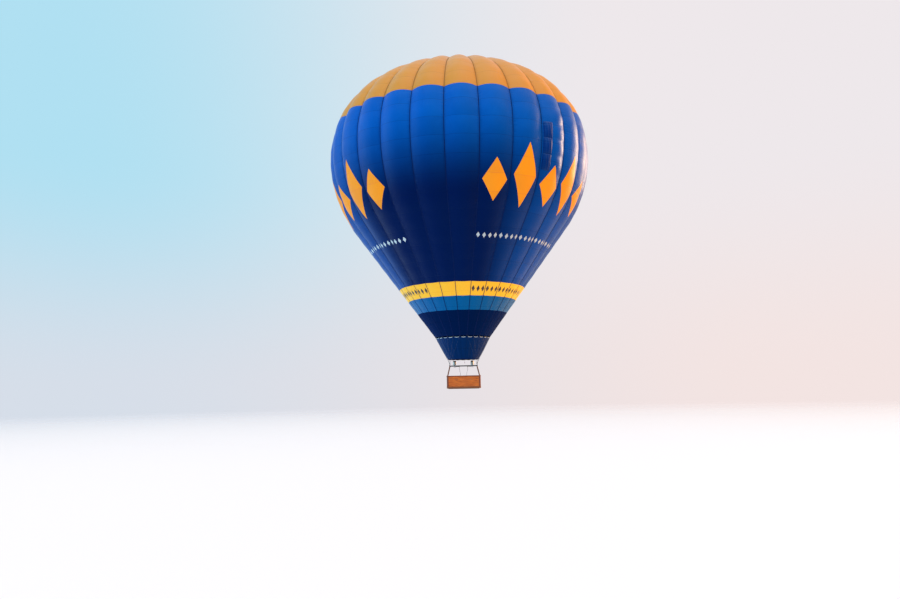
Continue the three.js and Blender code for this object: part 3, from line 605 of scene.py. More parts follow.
# The skirt's second colour is its painted shade.
skirt_finish = coated_nylon("skirt_nylon", (0, 46, 108), (0, 40, 96), (0, 16, 44), 0.12)
fit(skirt, skirt_finish, "hull", "heat_fabric", "skirt")
top_binding = binding("skirt_top_binding", lambda across: skirt_edge(across, 0.024), 0.020)
gap_lit_binding = webbing("dashed_webbing", (186, 200, 222), (230, 234, 240))
_, gore_count, _, _ = gap_lit_binding.place("UV")
# Painted light: pale dashes on the top binding, in the middle of each gore, where sky shows through the dips.
sky_gap_light = abs(gore_count.fract() - 0.5) < 0.3
gap_lit_binding.set(Base_Color=gap_lit_binding.mix((0, 26, 74), (226, 232, 240), sky_gap_light))
fit(top_binding, gap_lit_binding, "hull", "load_tape")
hem = binding("skirt_hem", lambda across: np.full(np.shape(across), SKIRT_DROP - 0.022), 0.024)
fit(hem, tape_finish, "hull", "load_tape")


# The crown ring: alloy, turned on a lathe, to which the crown line is tied. The tapes end round it. Its
# solid stays, with a new finish.
def refinish(finish, *nodes):
    for node in nodes:
        for held in bpy.data.objects[node].material_slots:
            held.material = finish.material


def metal(name, colour, roughness):
    """Bare metal with fine scratches and handling marks."""
    made = Finish(name, colour, roughness, Metallic=1.0)
    vector, *_ = made.place()
    marks = made.noise(vector, 35.0, 6.0)
    made.set(Roughness=roughness - 0.08 + marks * 0.25,
             Base_Color=made.mix(colour, (120, 122, 126), made.between(marks, 0.5, 0.8) * 0.35))
    made.bump(marks, 0.0006, 0.3)
    return made


alloy = metal("brushed_alloy", (200, 202, 205), 0.34)
refinish(alloy, "crown_ring")


# Flying wires: stainless cables from the mouth's tapes, six or seven to each corner. Their swaged ends meet
# in a forged boss, which a long link joins to the lug of the frame.
def linked(name, data):
    """A new piece, selected alone."""
    made = bpy.data.objects.new(name, data)
    bpy.context.collection.objects.link(made)
    alone(made)
    return made


def turned(name, outline, steps=40):
    """A shape turned round the z axis from an outline of radius and height."""
    mesh = bpy.data.meshes.new(name)
    mesh.from_pydata([(radius, 0, height) for radius, height in outline],
                     [(i, i + 1) for i in range(len(outline) - 1)], [])
    made = linked(name, mesh)
    mode("EDIT")
    bpy.ops.mesh.select_all(action="SELECT")
    bpy.ops.mesh.spin(steps=steps, angle=tau, center=(0, 0, 0), axis=(0, 0, 1))
    mend(near=0.0001)
    smooth(35)
    return made


def tube(name, points, radius, sides):
    """A round tube along points, as a mesh with closed ends."""
    path = bpy.data.curves.new(name, "CURVE")
    path.dimensions = "3D"
    path.bevel_depth, path.bevel_resolution, path.use_fill_caps = radius, sides // 4, True
    line = path.splines.new("POLY")
    line.points.add(len(points) - 1)
    for at, point in zip(line.points, points):
        at.co = (*point, 1)
    linked(name, path)
    bpy.ops.object.convert(target="MESH")
    mend(near=0.00005)
    smooth(50)
    return bpy.context.object


def copied(piece, name, place):
    """A copy of a piece with its own mesh, moved by a matrix."""
    copy = piece.copy()
    copy.data = piece.data.copy()
    copy.data.transform(place)
    copy.name = name
    bpy.context.collection.objects.link(copy)
    return copy


def remove(*pieces):
    for piece in pieces:
        bpy.data.objects.remove(piece)


CORNERS = ("front_left", -1, -1), ("front_right", 1, -1), ("back_right", 1, 1), ("back_left", -1, 1)
FRAME_X, FRAME_Y, FRAME_Z = 1.2, 0.75, 2.0  # half the frame's length and width, and its height
GATHER = 2.171
cable = metal("stainless_cable", (112, 115, 122), 0.5)
boss = turned("boss", [(0, 2.130), (0.018, 2.131), (0.027, 2.140), (0.033, 2.156), (0.034, 2.172),
                       (0.029, 2.188), (0.018, 2.203), (0, 2.208)], 28)
turn = np.linspace(0, tau, 33)
straight = 0.018 * np.sign(sin(turn)) * (abs(sin(turn)) > 1e-6)
link = tube("link", together(0 * turn, 0.018 * cos(turn), 2.105 + 0.018 * sin(turn) + straight), 0.006, 12)
for corner, x, y in CORNERS:
    foot = Vector((x * FRAME_X, y * FRAME_Y, GATHER))
    pieces = [copied(piece, "copy", Matrix.Translation((foot.x, foot.y, 0))) for piece in (boss, link)]
    for number in range(GORES):
        turn = tape_turn(number)
        if sin(turn) * x > 0 and -cos(turn) * y > 0:
            head = Vector(on_gores(np.array(0.06), np.array(float(number)), 0.0046))
            way = (head - foot).normalized()
            pieces += [bar(foot, head, 0.003, 8), bar(foot + way * 0.03, foot + way * 0.10, 0.008, 12),
                       bar(head - way * 0.09, head - way * 0.03, 0.008, 12)]
    fit(joined(f"cables_{corner}", pieces), cable, "hull", "wire", f"flying_wires_{corner}")
remove(boss, link)


# The burner frame: welded tubes between corner blocks with lugs, dark powder coat with a fine orange-peel
# surface, bare where links and hoses rub. Clamp blocks on its cross tubes hold the fuel hoses.
def block(size, at, bevel=0.004):
    """A machined block with rounded edges."""
    made = added(bpy.ops.mesh.primitive_cube_add, size=1, location=at, scale=size)
    edges = made.modifiers.new("edges", "BEVEL")
    edges.width, edges.segments = bevel, 3
    bpy.ops.object.modifier_apply(modifier="edges")
    smooth(30)
    return made


def bored(piece, tool):
    """The piece with the tool's shape cut out of it."""
    hole = piece.modifiers.new("hole", "BOOLEAN")
    hole.operation, hole.object, hole.solver, hole.use_self = "DIFFERENCE", tool, "EXACT", True
    alone(piece)
    bpy.ops.object.modifier_apply(modifier="hole")
    remove(tool)
    return piece


powder = Finish("dark_powder_coat", (40, 40, 44), 0.5)
vector, *_ = powder.place()
peel, rubbed = powder.noise(vector, 220.0), powder.noise(vector, 9.0, 8.0)
bare = powder.mix((40, 40, 44), (104, 100, 96), powder.between(rubbed, 0.62, 0.74))
powder.set(Base_Color=bare, Roughness=0.42 + rubbed * 0.2)
powder.bump(peel, 0.0008, 0.35)
CLAMP_X, CLAMP_Y = 0.36, 0.48  # the clamp blocks, on the frame's cross tubes
BURNER_X = 0.78
LUG_Z, BOLT_RADIUS = 2.064, 0.006
BURNERS = ("left", -BURNER_X), ("right", BURNER_X)
framework = [rod((-FRAME_X, FRAME_X), y, FRAME_Z, 0.025, 28) for y in (-FRAME_Y, FRAME_Y)]
framework += [rod(x, (-FRAME_Y, FRAME_Y), FRAME_Z, 0.025, 28) for x in (-FRAME_X, -CLAMP_X, CLAMP_X, FRAME_X)]
for corner, x, y in CORNERS:
    at_x, at_y, cross_x, clamp_y = x * FRAME_X, y * FRAME_Y, x * CLAMP_X, y * CLAMP_Y
    lug = joined("lug", [rod(at_x, (at_y - 0.006, at_y + 0.006), LUG_Z, 0.026, 32),
                         block((0.052, 0.012, 0.030), (at_x, at_y, 2.049), 0.001)])
    framework += [
        # a welded saddle where a cross tube meets the long one, then the corner's block and lug, and a clamp
        rod(cross_x, (at_y - y * 0.022, at_y - y * 0.050), FRAME_Z, 0.0285, 28),
        rod((cross_x - 0.03, cross_x + 0.03), at_y, FRAME_Z, 0.0275, 28),
        block((0.08, 0.08, 0.08), (at_x, at_y, FRAME_Z), 0.006),
        bored(lug, rod(at_x, (at_y - 0.02, at_y + 0.02), LUG_Z, 0.014, 24)),
        block((0.060, 0.070, 0.080), (cross_x, clamp_y, 1.980), 0.006),
    ]
    framework += [rod(at_x + dx, at_y + dy, (2.038, 2.0455), BOLT_RADIUS)
                  for dx in (-0.028, 0.028) for dy in (-0.028, 0.028)]
    framework += [rod(cross_x, clamp_y + dy, (2.018, 2.0265), BOLT_RADIUS) for dy in (-0.026, 0.026)]
for _, x in BURNERS:
    for out in (-1, 1):
        framework += [rod((x + out * 0.42, x + out * 0.273), 0, FRAME_Z, 0.011, 20),
                      rod((x + out * 0.42, x + out * 0.375), 0, FRAME_Z, 0.018, 24)]
fit(joined("frame_work", framework), powder, "hull", "frame_paint", "burner_frame")

# Gimbals: a ring of flat bar round each burner. It rocks on pins from the frame, and carries pins for the
# burner's ears, so that the pilot can point the flame.
GIMBAL_X, GIMBAL_Y, GIMBAL_BAR, GIMBAL_HIGH = 0.285, 0.36, 0.026, 0.042
for side, x in BURNERS:
    bars = []
    for out in (-1, 1):
        at = x + out * (GIMBAL_X - GIMBAL_BAR / 2)
        arm = block((GIMBAL_BAR, 2 * GIMBAL_Y, GIMBAL_HIGH), (at, 0, FRAME_Z))
        bars += [
            bored(arm, rod((at - 0.03, at + 0.03), 0, FRAME_Z, 0.012, 24)),
            block((2 * (GIMBAL_X - GIMBAL_BAR) + 0.002, GIMBAL_BAR, GIMBAL_HIGH - 0.002),
                  (x, out * (GIMBAL_Y - GIMBAL_BAR / 2 - 0.001), FRAME_Z), 0.003),
            rod(x, (out * 0.336, out * 0.304), FRAME_Z, 0.011, 20),
            rod(x, (out * 0.359, out * 0.366), FRAME_Z, 0.016),
        ]
    fit(joined(f"gimbal_ring_{side}", bars), powder, f"{side}_gimbal", "frame_paint", f"gimbal_{side}")

# Burners: each can is spun stainless steel, blued by heat at its top. Inside it a coil of tube boils the
# liquid gas, over a ring of jets and a pilot light. Below sit the valve block, its levers and a gauge.
heat_steel = Finish("heated_steel", (190, 192, 196), 0.3, Metallic=1.0)
vector, _, _, height = heat_steel.place()
heated = heat_steel.between(height + heat_steel.noise(vector, 14.0) * 0.12, 2.30, 2.54)
straw = heat_steel.mix((196, 192, 186), (172, 132, 88), heat_steel.between(heated, 0.1, 0.5))
heat_steel.set(Base_Color=heat_steel.mix(straw, (92, 98, 126), heat_steel.between(heated, 0.55, 0.95)),
               Roughness=0.26 + heat_steel.noise(vector, 30.0) * 0.2)
heat_steel.bump(heat_steel.noise(heat_steel.vector(0.0, 0.0, height), 300.0), 0.0005, 0.3)
red_enamel = Finish("red_enamel", (176, 28, 24), 0.35, Coat_Weight=0.4)
vector, *_ = red_enamel.place()
red_enamel.set(Base_Color=red_enamel.mix((176, 28, 24), (110, 20, 20), red_enamel.noise(vector, 18.0)))

CAN_Y, CAN_FOOT, CAN_TOP, CAN_RADIUS = 0.165, 2.09, 2.44, 0.132
COIL_TURNS, COIL_RADIUS, JET_RADIUS, PIPE_RADIUS = 6, 0.108, 0.066, 0.009
PLATE_Z, GAUGE_Y, GAUGE_Z = 2.0827, -0.243, 1.99
can = turned("can", [(0.127, 2.0903), (0.127, 2.434), (0.1295, 2.4395), (0.132, 2.434), (0.132, 2.0903),
                     (0.127, 2.0903)], 56)
s = np.linspace(0, 1, COIL_TURNS * 22)
turn = COIL_TURNS * tau * s
coil = together(COIL_RADIUS * cos(turn), COIL_RADIUS * sin(turn), CAN_FOOT + 0.06 + s * 0.26)
jet = added(bpy.ops.mesh.primitive_cone_add, vertices=8, radius1=0.006, radius2=0.003, depth=0.02,
            location=(JET_RADIUS, 0, CAN_FOOT + 0.071))
burner_inside = joined("burner_inside", [
    tube("coil", [(COIL_RADIUS, 0, CAN_FOOT + 0.004), *coil], PIPE_RADIUS, 8),
    torus(JET_RADIUS, PIPE_RADIUS, 32, (0, 0, CAN_FOOT + 0.055)),
    ring_of(jet, 16),
    rod(-JET_RADIUS, 0, (CAN_FOOT + 0.055, CAN_FOOT + 0.001), PIPE_RADIUS, 10),
    rod(0.02, 0.02, (CAN_FOOT + 0.001, CAN_FOOT + 0.10), 0.011, 12),
    torus(CAN_RADIUS - 0.0025, 0.006, 40, (0, 0, CAN_TOP)),
    torus(CAN_RADIUS, 0.005, 40, (0, 0, CAN_FOOT + 0.03)),
])

gauge = added(bpy.ops.mesh.primitive_cylinder_add, vertices=28, radius=0.034, depth=0.024,
              location=(0, GAUGE_Y, GAUGE_Z), rotation=(radians(90), 0, 0))
mode("EDIT")
bpy.ops.mesh.select_all(action="DESELECT")
bpy.ops.mesh.select_mode(type="FACE")
mode("OBJECT")
for face in gauge.data.polygons:
    face.select = face.normal.y < -0.9
mode("EDIT")
bpy.ops.mesh.inset(thickness=0.004)
bpy.ops.transform.translate(value=(0, 0.003, 0))
mode("OBJECT")

levers = []
for out in (-1, 1):
    y, handle_x = out * 0.12, out * 0.10
    levers += [rod(0, y, (1.921, 1.896), 0.014, 12), bar((0, y, 1.900), (handle_x, y, 1.872), 0.008, 10),
               rod(handle_x, (y - 0.045, y + 0.045), 1.872, 0.012, 12)]
lever_set = joined("levers", levers)
bolts = repeated(rod(0.125, 0.292, (2.0895, 2.0965), 0.009),
                 [Matrix.Diagonal((x, y, 1, 1)) for x in (-1, 1) for y in (-1, 1)])
alone(bolts)
mend()

dial_face = Finish("gauge_face", (236, 236, 230), 0.3)
_, gauge_x, _, gauge_z = dial_face.place()
off_x, off_z = abs(gauge_x) - BURNER_X, gauge_z - GAUGE_Z
from_gauge = (off_x * off_x + off_z * off_z) ** 0.5
marks = (abs(from_gauge - 0.023) < 0.002) * ((off_z.angle_over(off_x) * 3.18).fract() < 0.25)
marked_dial = dial_face.mix((236, 236, 230), (30, 30, 32), marks)
dial_face.set(Base_Color=dial_face.mix(marked_dial, (60, 60, 62), from_gauge > 0.029))
for side, x in BURNERS:
    body, here = f"{side}_burner", Matrix.Translation((x, 0, 0))
    for end, y in (("front", -CAN_Y), ("back", CAN_Y)):
        above = Matrix.Translation((x, y, 0))
        fit(copied(can, f"can_shell_{end}_{side}", above), heat_steel, body, "stainless",
            f"burner_can_{end}_{side}")
        fit(copied(burner_inside, f"burner_inside_{end}_{side}", above), heat_steel, body, "stainless")
    parts = [block((0.30, 0.64, 0.014), (x, 0, PLATE_Z), 0.003),
             block((0.09, 0.46, 0.16), (x, 0, FRAME_Z), 0.008)]
    for out in (-1, 1):
        ear = block((0.05, 0.016, 0.12), (x, out * 0.312, 2.024), 0.003)
        parts += [bored(ear, rod(x, (out * 0.29, out * 0.34), FRAME_Z, 0.012, 24)),
                  rod((x + 0.044, x + 0.060), out * 0.06, 2.02, 0.014),
                  rod(x, (out * 0.228, out * 0.240), 2.03, 0.020)]
    fit(joined(f"valve_block_{side}", parts), alloy, body, "alloy", f"burner_block_{side}")
    fit(copied(gauge, f"gauge_{side}", here), dial_face, body, "alloy")
    fit(copied(lever_set, f"blast_levers_{side}", here), red_enamel, body, "frame_paint")
    fit(copied(bolts, f"plate_bolts_{side}", here), cable, body, "stainless")
remove(can, burner_inside, gauge, lever_set, bolts)


# Uprights: nylon rods from the basket's rim up to the frame, laced into padded leather sleeves together
# with the basket cables. The leather wrinkles round them, and a cuff closes each end.
def leather(name, colour, dark, wear_and_shade, scale=1.0):
    """Oiled hide: pores and creases, darker in the hollows, lighter and smoother where hands rub it."""
    made = Finish(name, colour, 0.5)
    vector, *_ = made.place()
    pores, creases = made.cells(vector, 260.0 * scale), made.noise(vector, 70.0 * scale, 8.0)
    rubbed = made.noise(vector, 2.2, 4.0)
    base = made.mix(dark, colour, made.between(creases, 0.2, 0.6))
    made.set(Base_Color=made.mix(base, wear_and_shade, made.between(rubbed, 0.5, 0.8) * 0.4),
             Roughness=0.62 - rubbed * 0.25)
    made.bump(pores * 0.4 + creases * 1.4, 0.004, 0.6)
    return made


hide = leather("oiled_hide", (124, 66, 40), (84, 42, 26), (160, 98, 62))
for corner, x, y in CORNERS:
    foot, head = Vector((x * 1.399, y * 0.787, 1.1445)), Vector((x * FRAME_X, y * FRAME_Y, 1.958))
    tilted = np.array((head - foot).to_track_quat("Z", "Y").to_matrix())

    def sleeve_shape(u, v):
        turn, middle = u * tau, sin(pi * v)
        cuff = exp(-((v - 0.035) / 0.02) ** 2) + exp(-((v - 0.965) / 0.02) ** 2)
        wrinkle = 0.0016 * sin(v * 60 + 2.2 * sin(turn + v * 9)) + 0.0022 * sin(v * 23 + 3 * cos(turn))
        lace = 0.004 * exp(-((u - 0.5) / 0.02) ** 2) * (0.6 + 0.4 * cos(v * 170))
        radius = 0.0285 + (0.004 + wrinkle) * middle + 0.003 * cuff + lace
        around = together(radius * cos(turn), radius * sin(turn), np.zeros_like(turn)) @ tilted.T
        around[..., 2] *= np.clip(np.minimum(v, 1 - v) / 0.08, 0, 1)
        return np.array(foot) + v[..., None] * np.array(head - foot) + around, together(u, v)

    sleeve = cloth(f"sleeve_{corner}", 24, 126, sleeve_shape, thickness=0.003, closed=True)
    fit(sleeve, hide, "hull", "leather", f"upright_{corner}")
    nylon_rod = bar(foot + (head - foot) * 0.001, foot + (head - foot) * 0.999, 0.014, 16)
    nylon_rod.name = f"upright_rod_{corner}"
    fit(nylon_rod, powder, "hull", "frame_paint")

# The basket's walls: willow strands woven in and out of upright stakes, row upon row, with two step holes
# in each end. The willow is varnished orange brown, and no two strands are quite the same.
WALL_MIDDLE_X, WALL_MIDDLE_Y, WALL_CORNER = 1.459, 0.799, 0.109  # half the wall's size, a corner's radius
STRAIGHT_X, STRAIGHT_Y = WALL_MIDDLE_X - WALL_CORNER, WALL_MIDDLE_Y - WALL_CORNER  # half a straight side
QUARTER = pi / 2 * WALL_CORNER
STAKES, WEAVE_LOW, WEAVE_ROWS, ROW_PITCH = 120, 0.0775, 46, 0.0218
FLOOR_TOP, STAKE_TOP, STAKE_RADIUS = 0.0665, 1.0735, 0.0045
STEPS = (0.330, 0.110), (0.680, 0.110)  # the middle and height of each step hole
STEP_FROM, STEP_TO = 0.315, 0.505
GIRTH = 4 * STRAIGHT_X + 4 * STRAIGHT_Y + tau * WALL_CORNER
PITCH = GIRTH / STAKES


def round_wall(distance, out=0.0):
    """x and y at metres round the wall from the middle of its front, and out from the wall's middle."""
    distance = np.mod(distance, GIRTH)
    x, y, turn = np.zeros((3, *np.shape(distance)))
    start = 0.0
    for length, from_x, from_y, first, swing in (
        # half a front, then corner, side, corner, back, corner, side, corner and the other half
        (STRAIGHT_X, 0, -WALL_MIDDLE_Y, -90, 0),
        (QUARTER, STRAIGHT_X, -STRAIGHT_Y, -90, 90),
        (2 * STRAIGHT_Y, WALL_MIDDLE_X, -STRAIGHT_Y, 0, 0),
        (QUARTER, STRAIGHT_X, STRAIGHT_Y, 0, 90),
        (2 * STRAIGHT_X, STRAIGHT_X, WALL_MIDDLE_Y, 90, 0),
        (QUARTER, -STRAIGHT_X, STRAIGHT_Y, 90, 90),
        (2 * STRAIGHT_Y, -WALL_MIDDLE_X, STRAIGHT_Y, 180, 0),
        (QUARTER, -STRAIGHT_X, -STRAIGHT_Y, 180, 90),
        (STRAIGHT_X, -STRAIGHT_X, -WALL_MIDDLE_Y, -90, 0),
    ):
        here = (distance >= start - 1e-9) & (distance <= start + length + 1e-9)
        done = distance - start
        facing = radians(first) + radians(swing) * done / length
        onward, reach = (0, WALL_CORNER) if swing else (done, 0)
        x = np.where(here, from_x + reach * cos(facing) - onward * sin(facing), x)
        y = np.where(here, from_y + reach * sin(facing) + onward * cos(facing), y)
        turn = np.where(here, facing, turn)
        start += length
    return x + out * cos(turn), y + out * sin(turn)


def strand(start, length, over, levels, path=round_wall, ends=True):
    """A willow strand at each of some heights. over is 1 or -1, for which side of the first stake."""
    def shape(u, v):
        turn, distance = u * tau, start + v * length
        out = over * 0.0095 * cos(pi * distance / PITCH) + 0.0065 * cos(turn)
        return together(*path(distance, out), 0.0176 * sin(turn)), together(u * 0.05, distance)

    made = cloth("strand", 5, max(1, round(length / PITCH)) * 3, shape, thickness=0, closed=True)
    if ends:
        mend(holes=True)
    return repeated(made, [Matrix.Translation((0, 0, z)) for z in levels])


heights = [WEAVE_LOW + ROW_PITCH * row for row in range(WEAVE_ROWS)]
ways = ((1, heights[0::2]), (-1, heights[1::2]))
right_start = STRAIGHT_X + QUARTER + STRAIGHT_Y
left_start = right_start + GIRTH / 2
half_gap, hole_middle = (STEP_TO - STEP_FROM) / 2, (STEP_FROM + STEP_TO) / 2
right_hole, left_hole = right_start + hole_middle, left_start - hole_middle
between_holes = left_hole - right_hole
weave = []
for over, mine in ways:
    broken = [z for z in mine if any(abs(z - middle) < high / 2 + 0.011 for middle, high in STEPS)]
    whole = [z for z in mine if z not in broken]
    weave += [strand(0, GIRTH, over, whole, ends=False),
              strand(right_hole + half_gap, between_holes - 2 * half_gap, over, broken),
              strand(left_hole + half_gap, GIRTH - between_holes - 2 * half_gap, over, broken)]
stakes = list(zip(*round_wall(PITCH * np.arange(STAKES))))
in_step = [abs(y - hole_middle) < half_gap and abs(x) > 1.4 for x, y in stakes]
stake = repeated(rod(0, 0, (FLOOR_TOP, STAKE_TOP), STAKE_RADIUS),
                 [Matrix.Translation((x, y, 0)) for (x, y), gap in zip(stakes, in_step) if not gap])
hole_edges = [middle + edge for middle, high in STEPS for edge in (-high / 2, high / 2)]
stake_ends = [FLOOR_TOP, *hole_edges, STAKE_TOP]
short = [rod(x, y, ends, STAKE_RADIUS) for (x, y), gap in zip(stakes, in_step) if gap
         for ends in zip(stake_ends[0::2], stake_ends[1::2])]
walls = joined("wicker_walls", [*weave, stake, *short])

willow = Finish("varnished_willow", (190, 98, 44), 0.5, Coat_Weight=0.06, Coat_Roughness=0.35)
_, place_x, place_y, place_z = willow.place()


def willow_noise(sideways, upwards, detail):
    return willow.noise(willow.vector(place_x * sideways, place_y * sideways, place_z * upwards), 1.0, detail)


tone, patch, grain = willow_noise(2.2, 50, 2.0), willow_noise(1.2, 11, 2.0), willow_noise(60, 300, 4.0)
light_willow = willow.mix((200, 82, 18), (255, 142, 46), willow.between(tone, 0.3, 0.7))
aged = willow.mix(light_willow, (140, 56, 20), willow.between(patch, 0.5, 0.75) * 0.5)
willow.set(Base_Color=willow.mix(aged, (84, 38, 18), willow.between(0.14 - place_z, 0.0, 0.08) * 0.5),
           Roughness=0.42 + grain * 0.25)
willow.bump(grain, 0.0012, 0.5)
fit(walls, willow, "hull", "wicker", "basket_walls")


# Partitions: the same weave, with a stake wall across the basket on each side of the cylinders and one from
# it to the end wall between the two bays. Padded leather rolls cap them.
def squared(wave, power):
    """A sine or cosine wave made boxier, so that a round section turns into a rounded square one."""
    return np.sign(wave) * np.abs(wave) ** power


PARTITION_X, PARTITION_TOP = 0.47, 1.035
for side, way in (("left", -1), ("right", 1)):
    at_x = way * PARTITION_X
    parts = []
    for over, mine in ways:
        levels = [z for z in mine if z < 1.02]
        parts += [strand(-0.7705, 1.541, over, levels, lambda distance, out: (at_x + out * 0.8, distance)),
                  strand(0.4955, 0.935, over, levels, lambda distance, out: (way * distance, out * 0.8))]
    spots = [(at_x, PITCH * number) for number in range(-10, 11)]
    spots += [(way * PITCH * number, 0) for number in range(7, 20)]
    posts = repeated(rod(0, 0, (FLOOR_TOP, PARTITION_TOP), STAKE_RADIUS),
                     [Matrix.Translation((x, y, 0)) for x, y in spots])
    partition = joined(f"partition_weave_{side}", [*parts, posts])
    mend()
    fit(partition, willow, "hull", "wicker", f"partition_{side}")

    for name, start, end in (("across", (at_x, -0.747), (at_x, 0.747)),
                             ("along", (way * 0.505, 0), (way * 1.407, 0))):
        start, end = np.array(start), np.array(end)
        length = float(np.linalg.norm(end - start))
        heading = (end - start) / length

        def pad_shape(u, v):
            turn, done = u * tau, v * length
            taper = np.clip(np.minimum(v, 1 - v) * length / 0.03, 0.0, 1) ** 0.5
            squeeze = taper * (1 - 0.10 * exp(-((np.mod(done, 0.18) - 0.09) / 0.008) ** 2))
            wide = 0.031 * squared(cos(turn), 0.7) * squeeze
            high = 1.0425 + 0.0245 * squared(sin(turn), 0.7) * squeeze
            wrinkle = 0.0008 * sin(done * 240 + 2 * cos(turn)) * taper
            x = start[0] + heading[0] * done - heading[1] * wide
            y = start[1] + heading[1] * done + heading[0] * wide
            return together(x, y, high + wrinkle), together(u, done)

        roll = cloth(f"partition_roll_{name}_{side}", 20, round(length / 0.02), pad_shape,
                     thickness=0, closed=True)
        fit(roll, hide, "hull", "leather")

# The rim: foam laid along the top of the walls under a dark hide, which is drawn in by stitches and laced to
# the weave with thongs. Hide also binds the corners and the step holes.
RIM_LOW, RIM_HALF_WIDTH, RIM_HALF_HEIGHT = 1.0756, 0.052, 0.033
RIM_STITCHES = 72


def rim_shape(u, v):
    distance, turn = u * GIRTH, v * tau
    stitch = exp(-((np.mod(u * RIM_STITCHES, 1) - 0.5) / 0.05) ** 2)
    soft = sin(u * RIM_STITCHES * pi) ** 2
    wrinkle = 0.0009 * sin(distance * 160 + 3 * cos(turn)) + 0.0012 * sin(distance * 37 + turn)
    round_z = squared(sin(turn), 0.8)
    out = (RIM_HALF_WIDTH - 0.003 * stitch - 0.001 * soft + wrinkle) * squared(cos(turn), 0.75)
    lift = RIM_HALF_HEIGHT * (1 + round_z) - 0.004 * stitch * (round_z > 0) + wrinkle * (round_z > 0)
    return together(*round_wall(distance, out), RIM_LOW + lift), together(v, distance)


def thongs(name, low, high, count, out):
    """A leather lace that zigzags round the basket."""
    number = np.arange(2 * count + 1)
    points = together(*round_wall(GIRTH * number / (2 * count), out), np.where(number % 2, low, high))
    fit(tube(name, points, 0.0028, 6), pale_hide, "hull", "leather")


rim_hide = leather("rim_hide", (148, 70, 40), (106, 48, 28), (180, 104, 64))
pale_hide = leather("pale_thong", (176, 118, 74), (120, 74, 44), (206, 158, 110), 2.0)
rim = cloth("rim_leather", RIM_STITCHES * 8, 22, rim_shape, thickness=0, closed=True)
fit(rim, rim_hide, "hull", "leather", "rim_padding")
thongs("rim_lacing", 1.038, 1.080, 88, 0.0205)

front_corner = STRAIGHT_X + QUARTER / 2
for number, middle in enumerate((
        front_corner, right_start * 2 - front_corner,
        front_corner + GIRTH / 2, right_start * 2 - front_corner + GIRTH / 2)):
    def corner_shape(u, v):
        distance = middle + (u - 0.5) * (0.23 + 0.012 * sin(v * 21))
        out = 0.0195 + 0.0008 * sin(v * 70 + u * 5)
        return together(*round_wall(distance, out), 0.185 + v * 0.888), together(u, v)

    corner_hide = cloth(f"corner_binding_{number + 1}", 18, 60, corner_shape, thickness=0.003)
    fit(corner_hide, rim_hide, "hull", "leather")

turn = np.arange(40) / 40 * tau
edge_y, edge_z = hole_middle + 0.104 * squared(cos(turn), 0.35), 0.064 * squared(sin(turn), 0.35)
edge_y, edge_z = np.append(edge_y, edge_y[0]), np.append(edge_z, edge_z[0])
for side, way in (("left", -1), ("right", 1)):
    for number, (middle, _) in enumerate(STEPS):
        for face, x in (("outer", 1.4775), ("inner", 1.4405)):
            ring = tube(f"step_binding_{side}_{number + 1}_{face}",
                        together(np.full(41, way * x), edge_y, middle + edge_z), 0.010, 8)
            fit(ring, rim_hide, "hull", "leather")

# The scuff band: rawhide, soaked and stretched round the foot of the walls, where it dries hard. It takes
# the knocks of a landing, and a thong laces its top edge to the weave.
rawhide = leather("rawhide", (146, 82, 42), (100, 52, 26), (176, 114, 68))


def scuff_shape(u, v):
    distance = u * GIRTH
    buckle = 0.0014 * sin(distance * 9 + v * 3) + 0.0008 * sin(distance * 31)
    height = 0.0458 + v * (0.1435 + 0.0016 * sin(distance * 23))
    return together(*round_wall(distance, 0.0288 + buckle * sin(pi * v)), height), together(distance, v)


scuff = cloth("scuff_leather", 360, 10, scuff_shape, thickness=0.006, closed=True)
fit(scuff, rawhide, "hull", "leather", "scuff_band")
thongs("scuff_lacing", 0.168, 0.206, 100, 0.0300)


# Floor and runners: a plywood board on three ash runners, screwed up from below and scraped by landings.
# Their solids stay, with new finishes.
def wood(name, light, dark, stretch):
    """Long grain along x, with scrapes and dirt towards the ground."""
    made = Finish(name, light, 0.6)
    _, x, y, z = made.place()
    grain = made.noise(made.vector(x * 1.5, y * stretch, z * stretch), 1.6, 6.0)
    ring = (made.noise(made.vector(x * 0.8, y * 9, z * 9), 1.0) * 30).sine()
    dirt = made.between(0.06 - z, -0.02, 0.07) * made.noise(made.vector(x, y * 6, z * 6), 3.0)
    clean = made.mix(light, dark, grain * 0.7 + ring * 0.12)
    made.set(Base_Color=made.mix(clean, (70, 54, 42), dirt), Roughness=0.5 + grain * 0.25)
    made.bump(grain + ring * 0.2, 0.002, 0.5)
    return made


ash = wood("ash_runner", (172, 128, 84), (112, 76, 46), 40)
refinish(ash, "runner_front", "runner_middle", "runner_back")
refinish(wood("plywood", (178, 138, 92), (128, 90, 56), 26), "basket_floor")


# Fuel cylinders: stainless shells in quilted jackets, strapped into the corners of the middle bay. A collar
# guards the valve, its handwheel and the gauge.
def jacket_shape(u, v):
    turn = u * tau
    quilt = (np.abs(sin(u * 10 * pi)) * np.abs(sin(v * 7 * pi))) ** 0.35
    close = np.clip((v - 0.93) / 0.07, 0, 1) ** 2 * 0.030
    radius, height = 0.1375 + 0.0065 * quilt - close, FLOOR_TOP + v * 0.845
    return together(radius * cos(turn), radius * sin(turn), height), together(u * 0.9, v * 0.84)


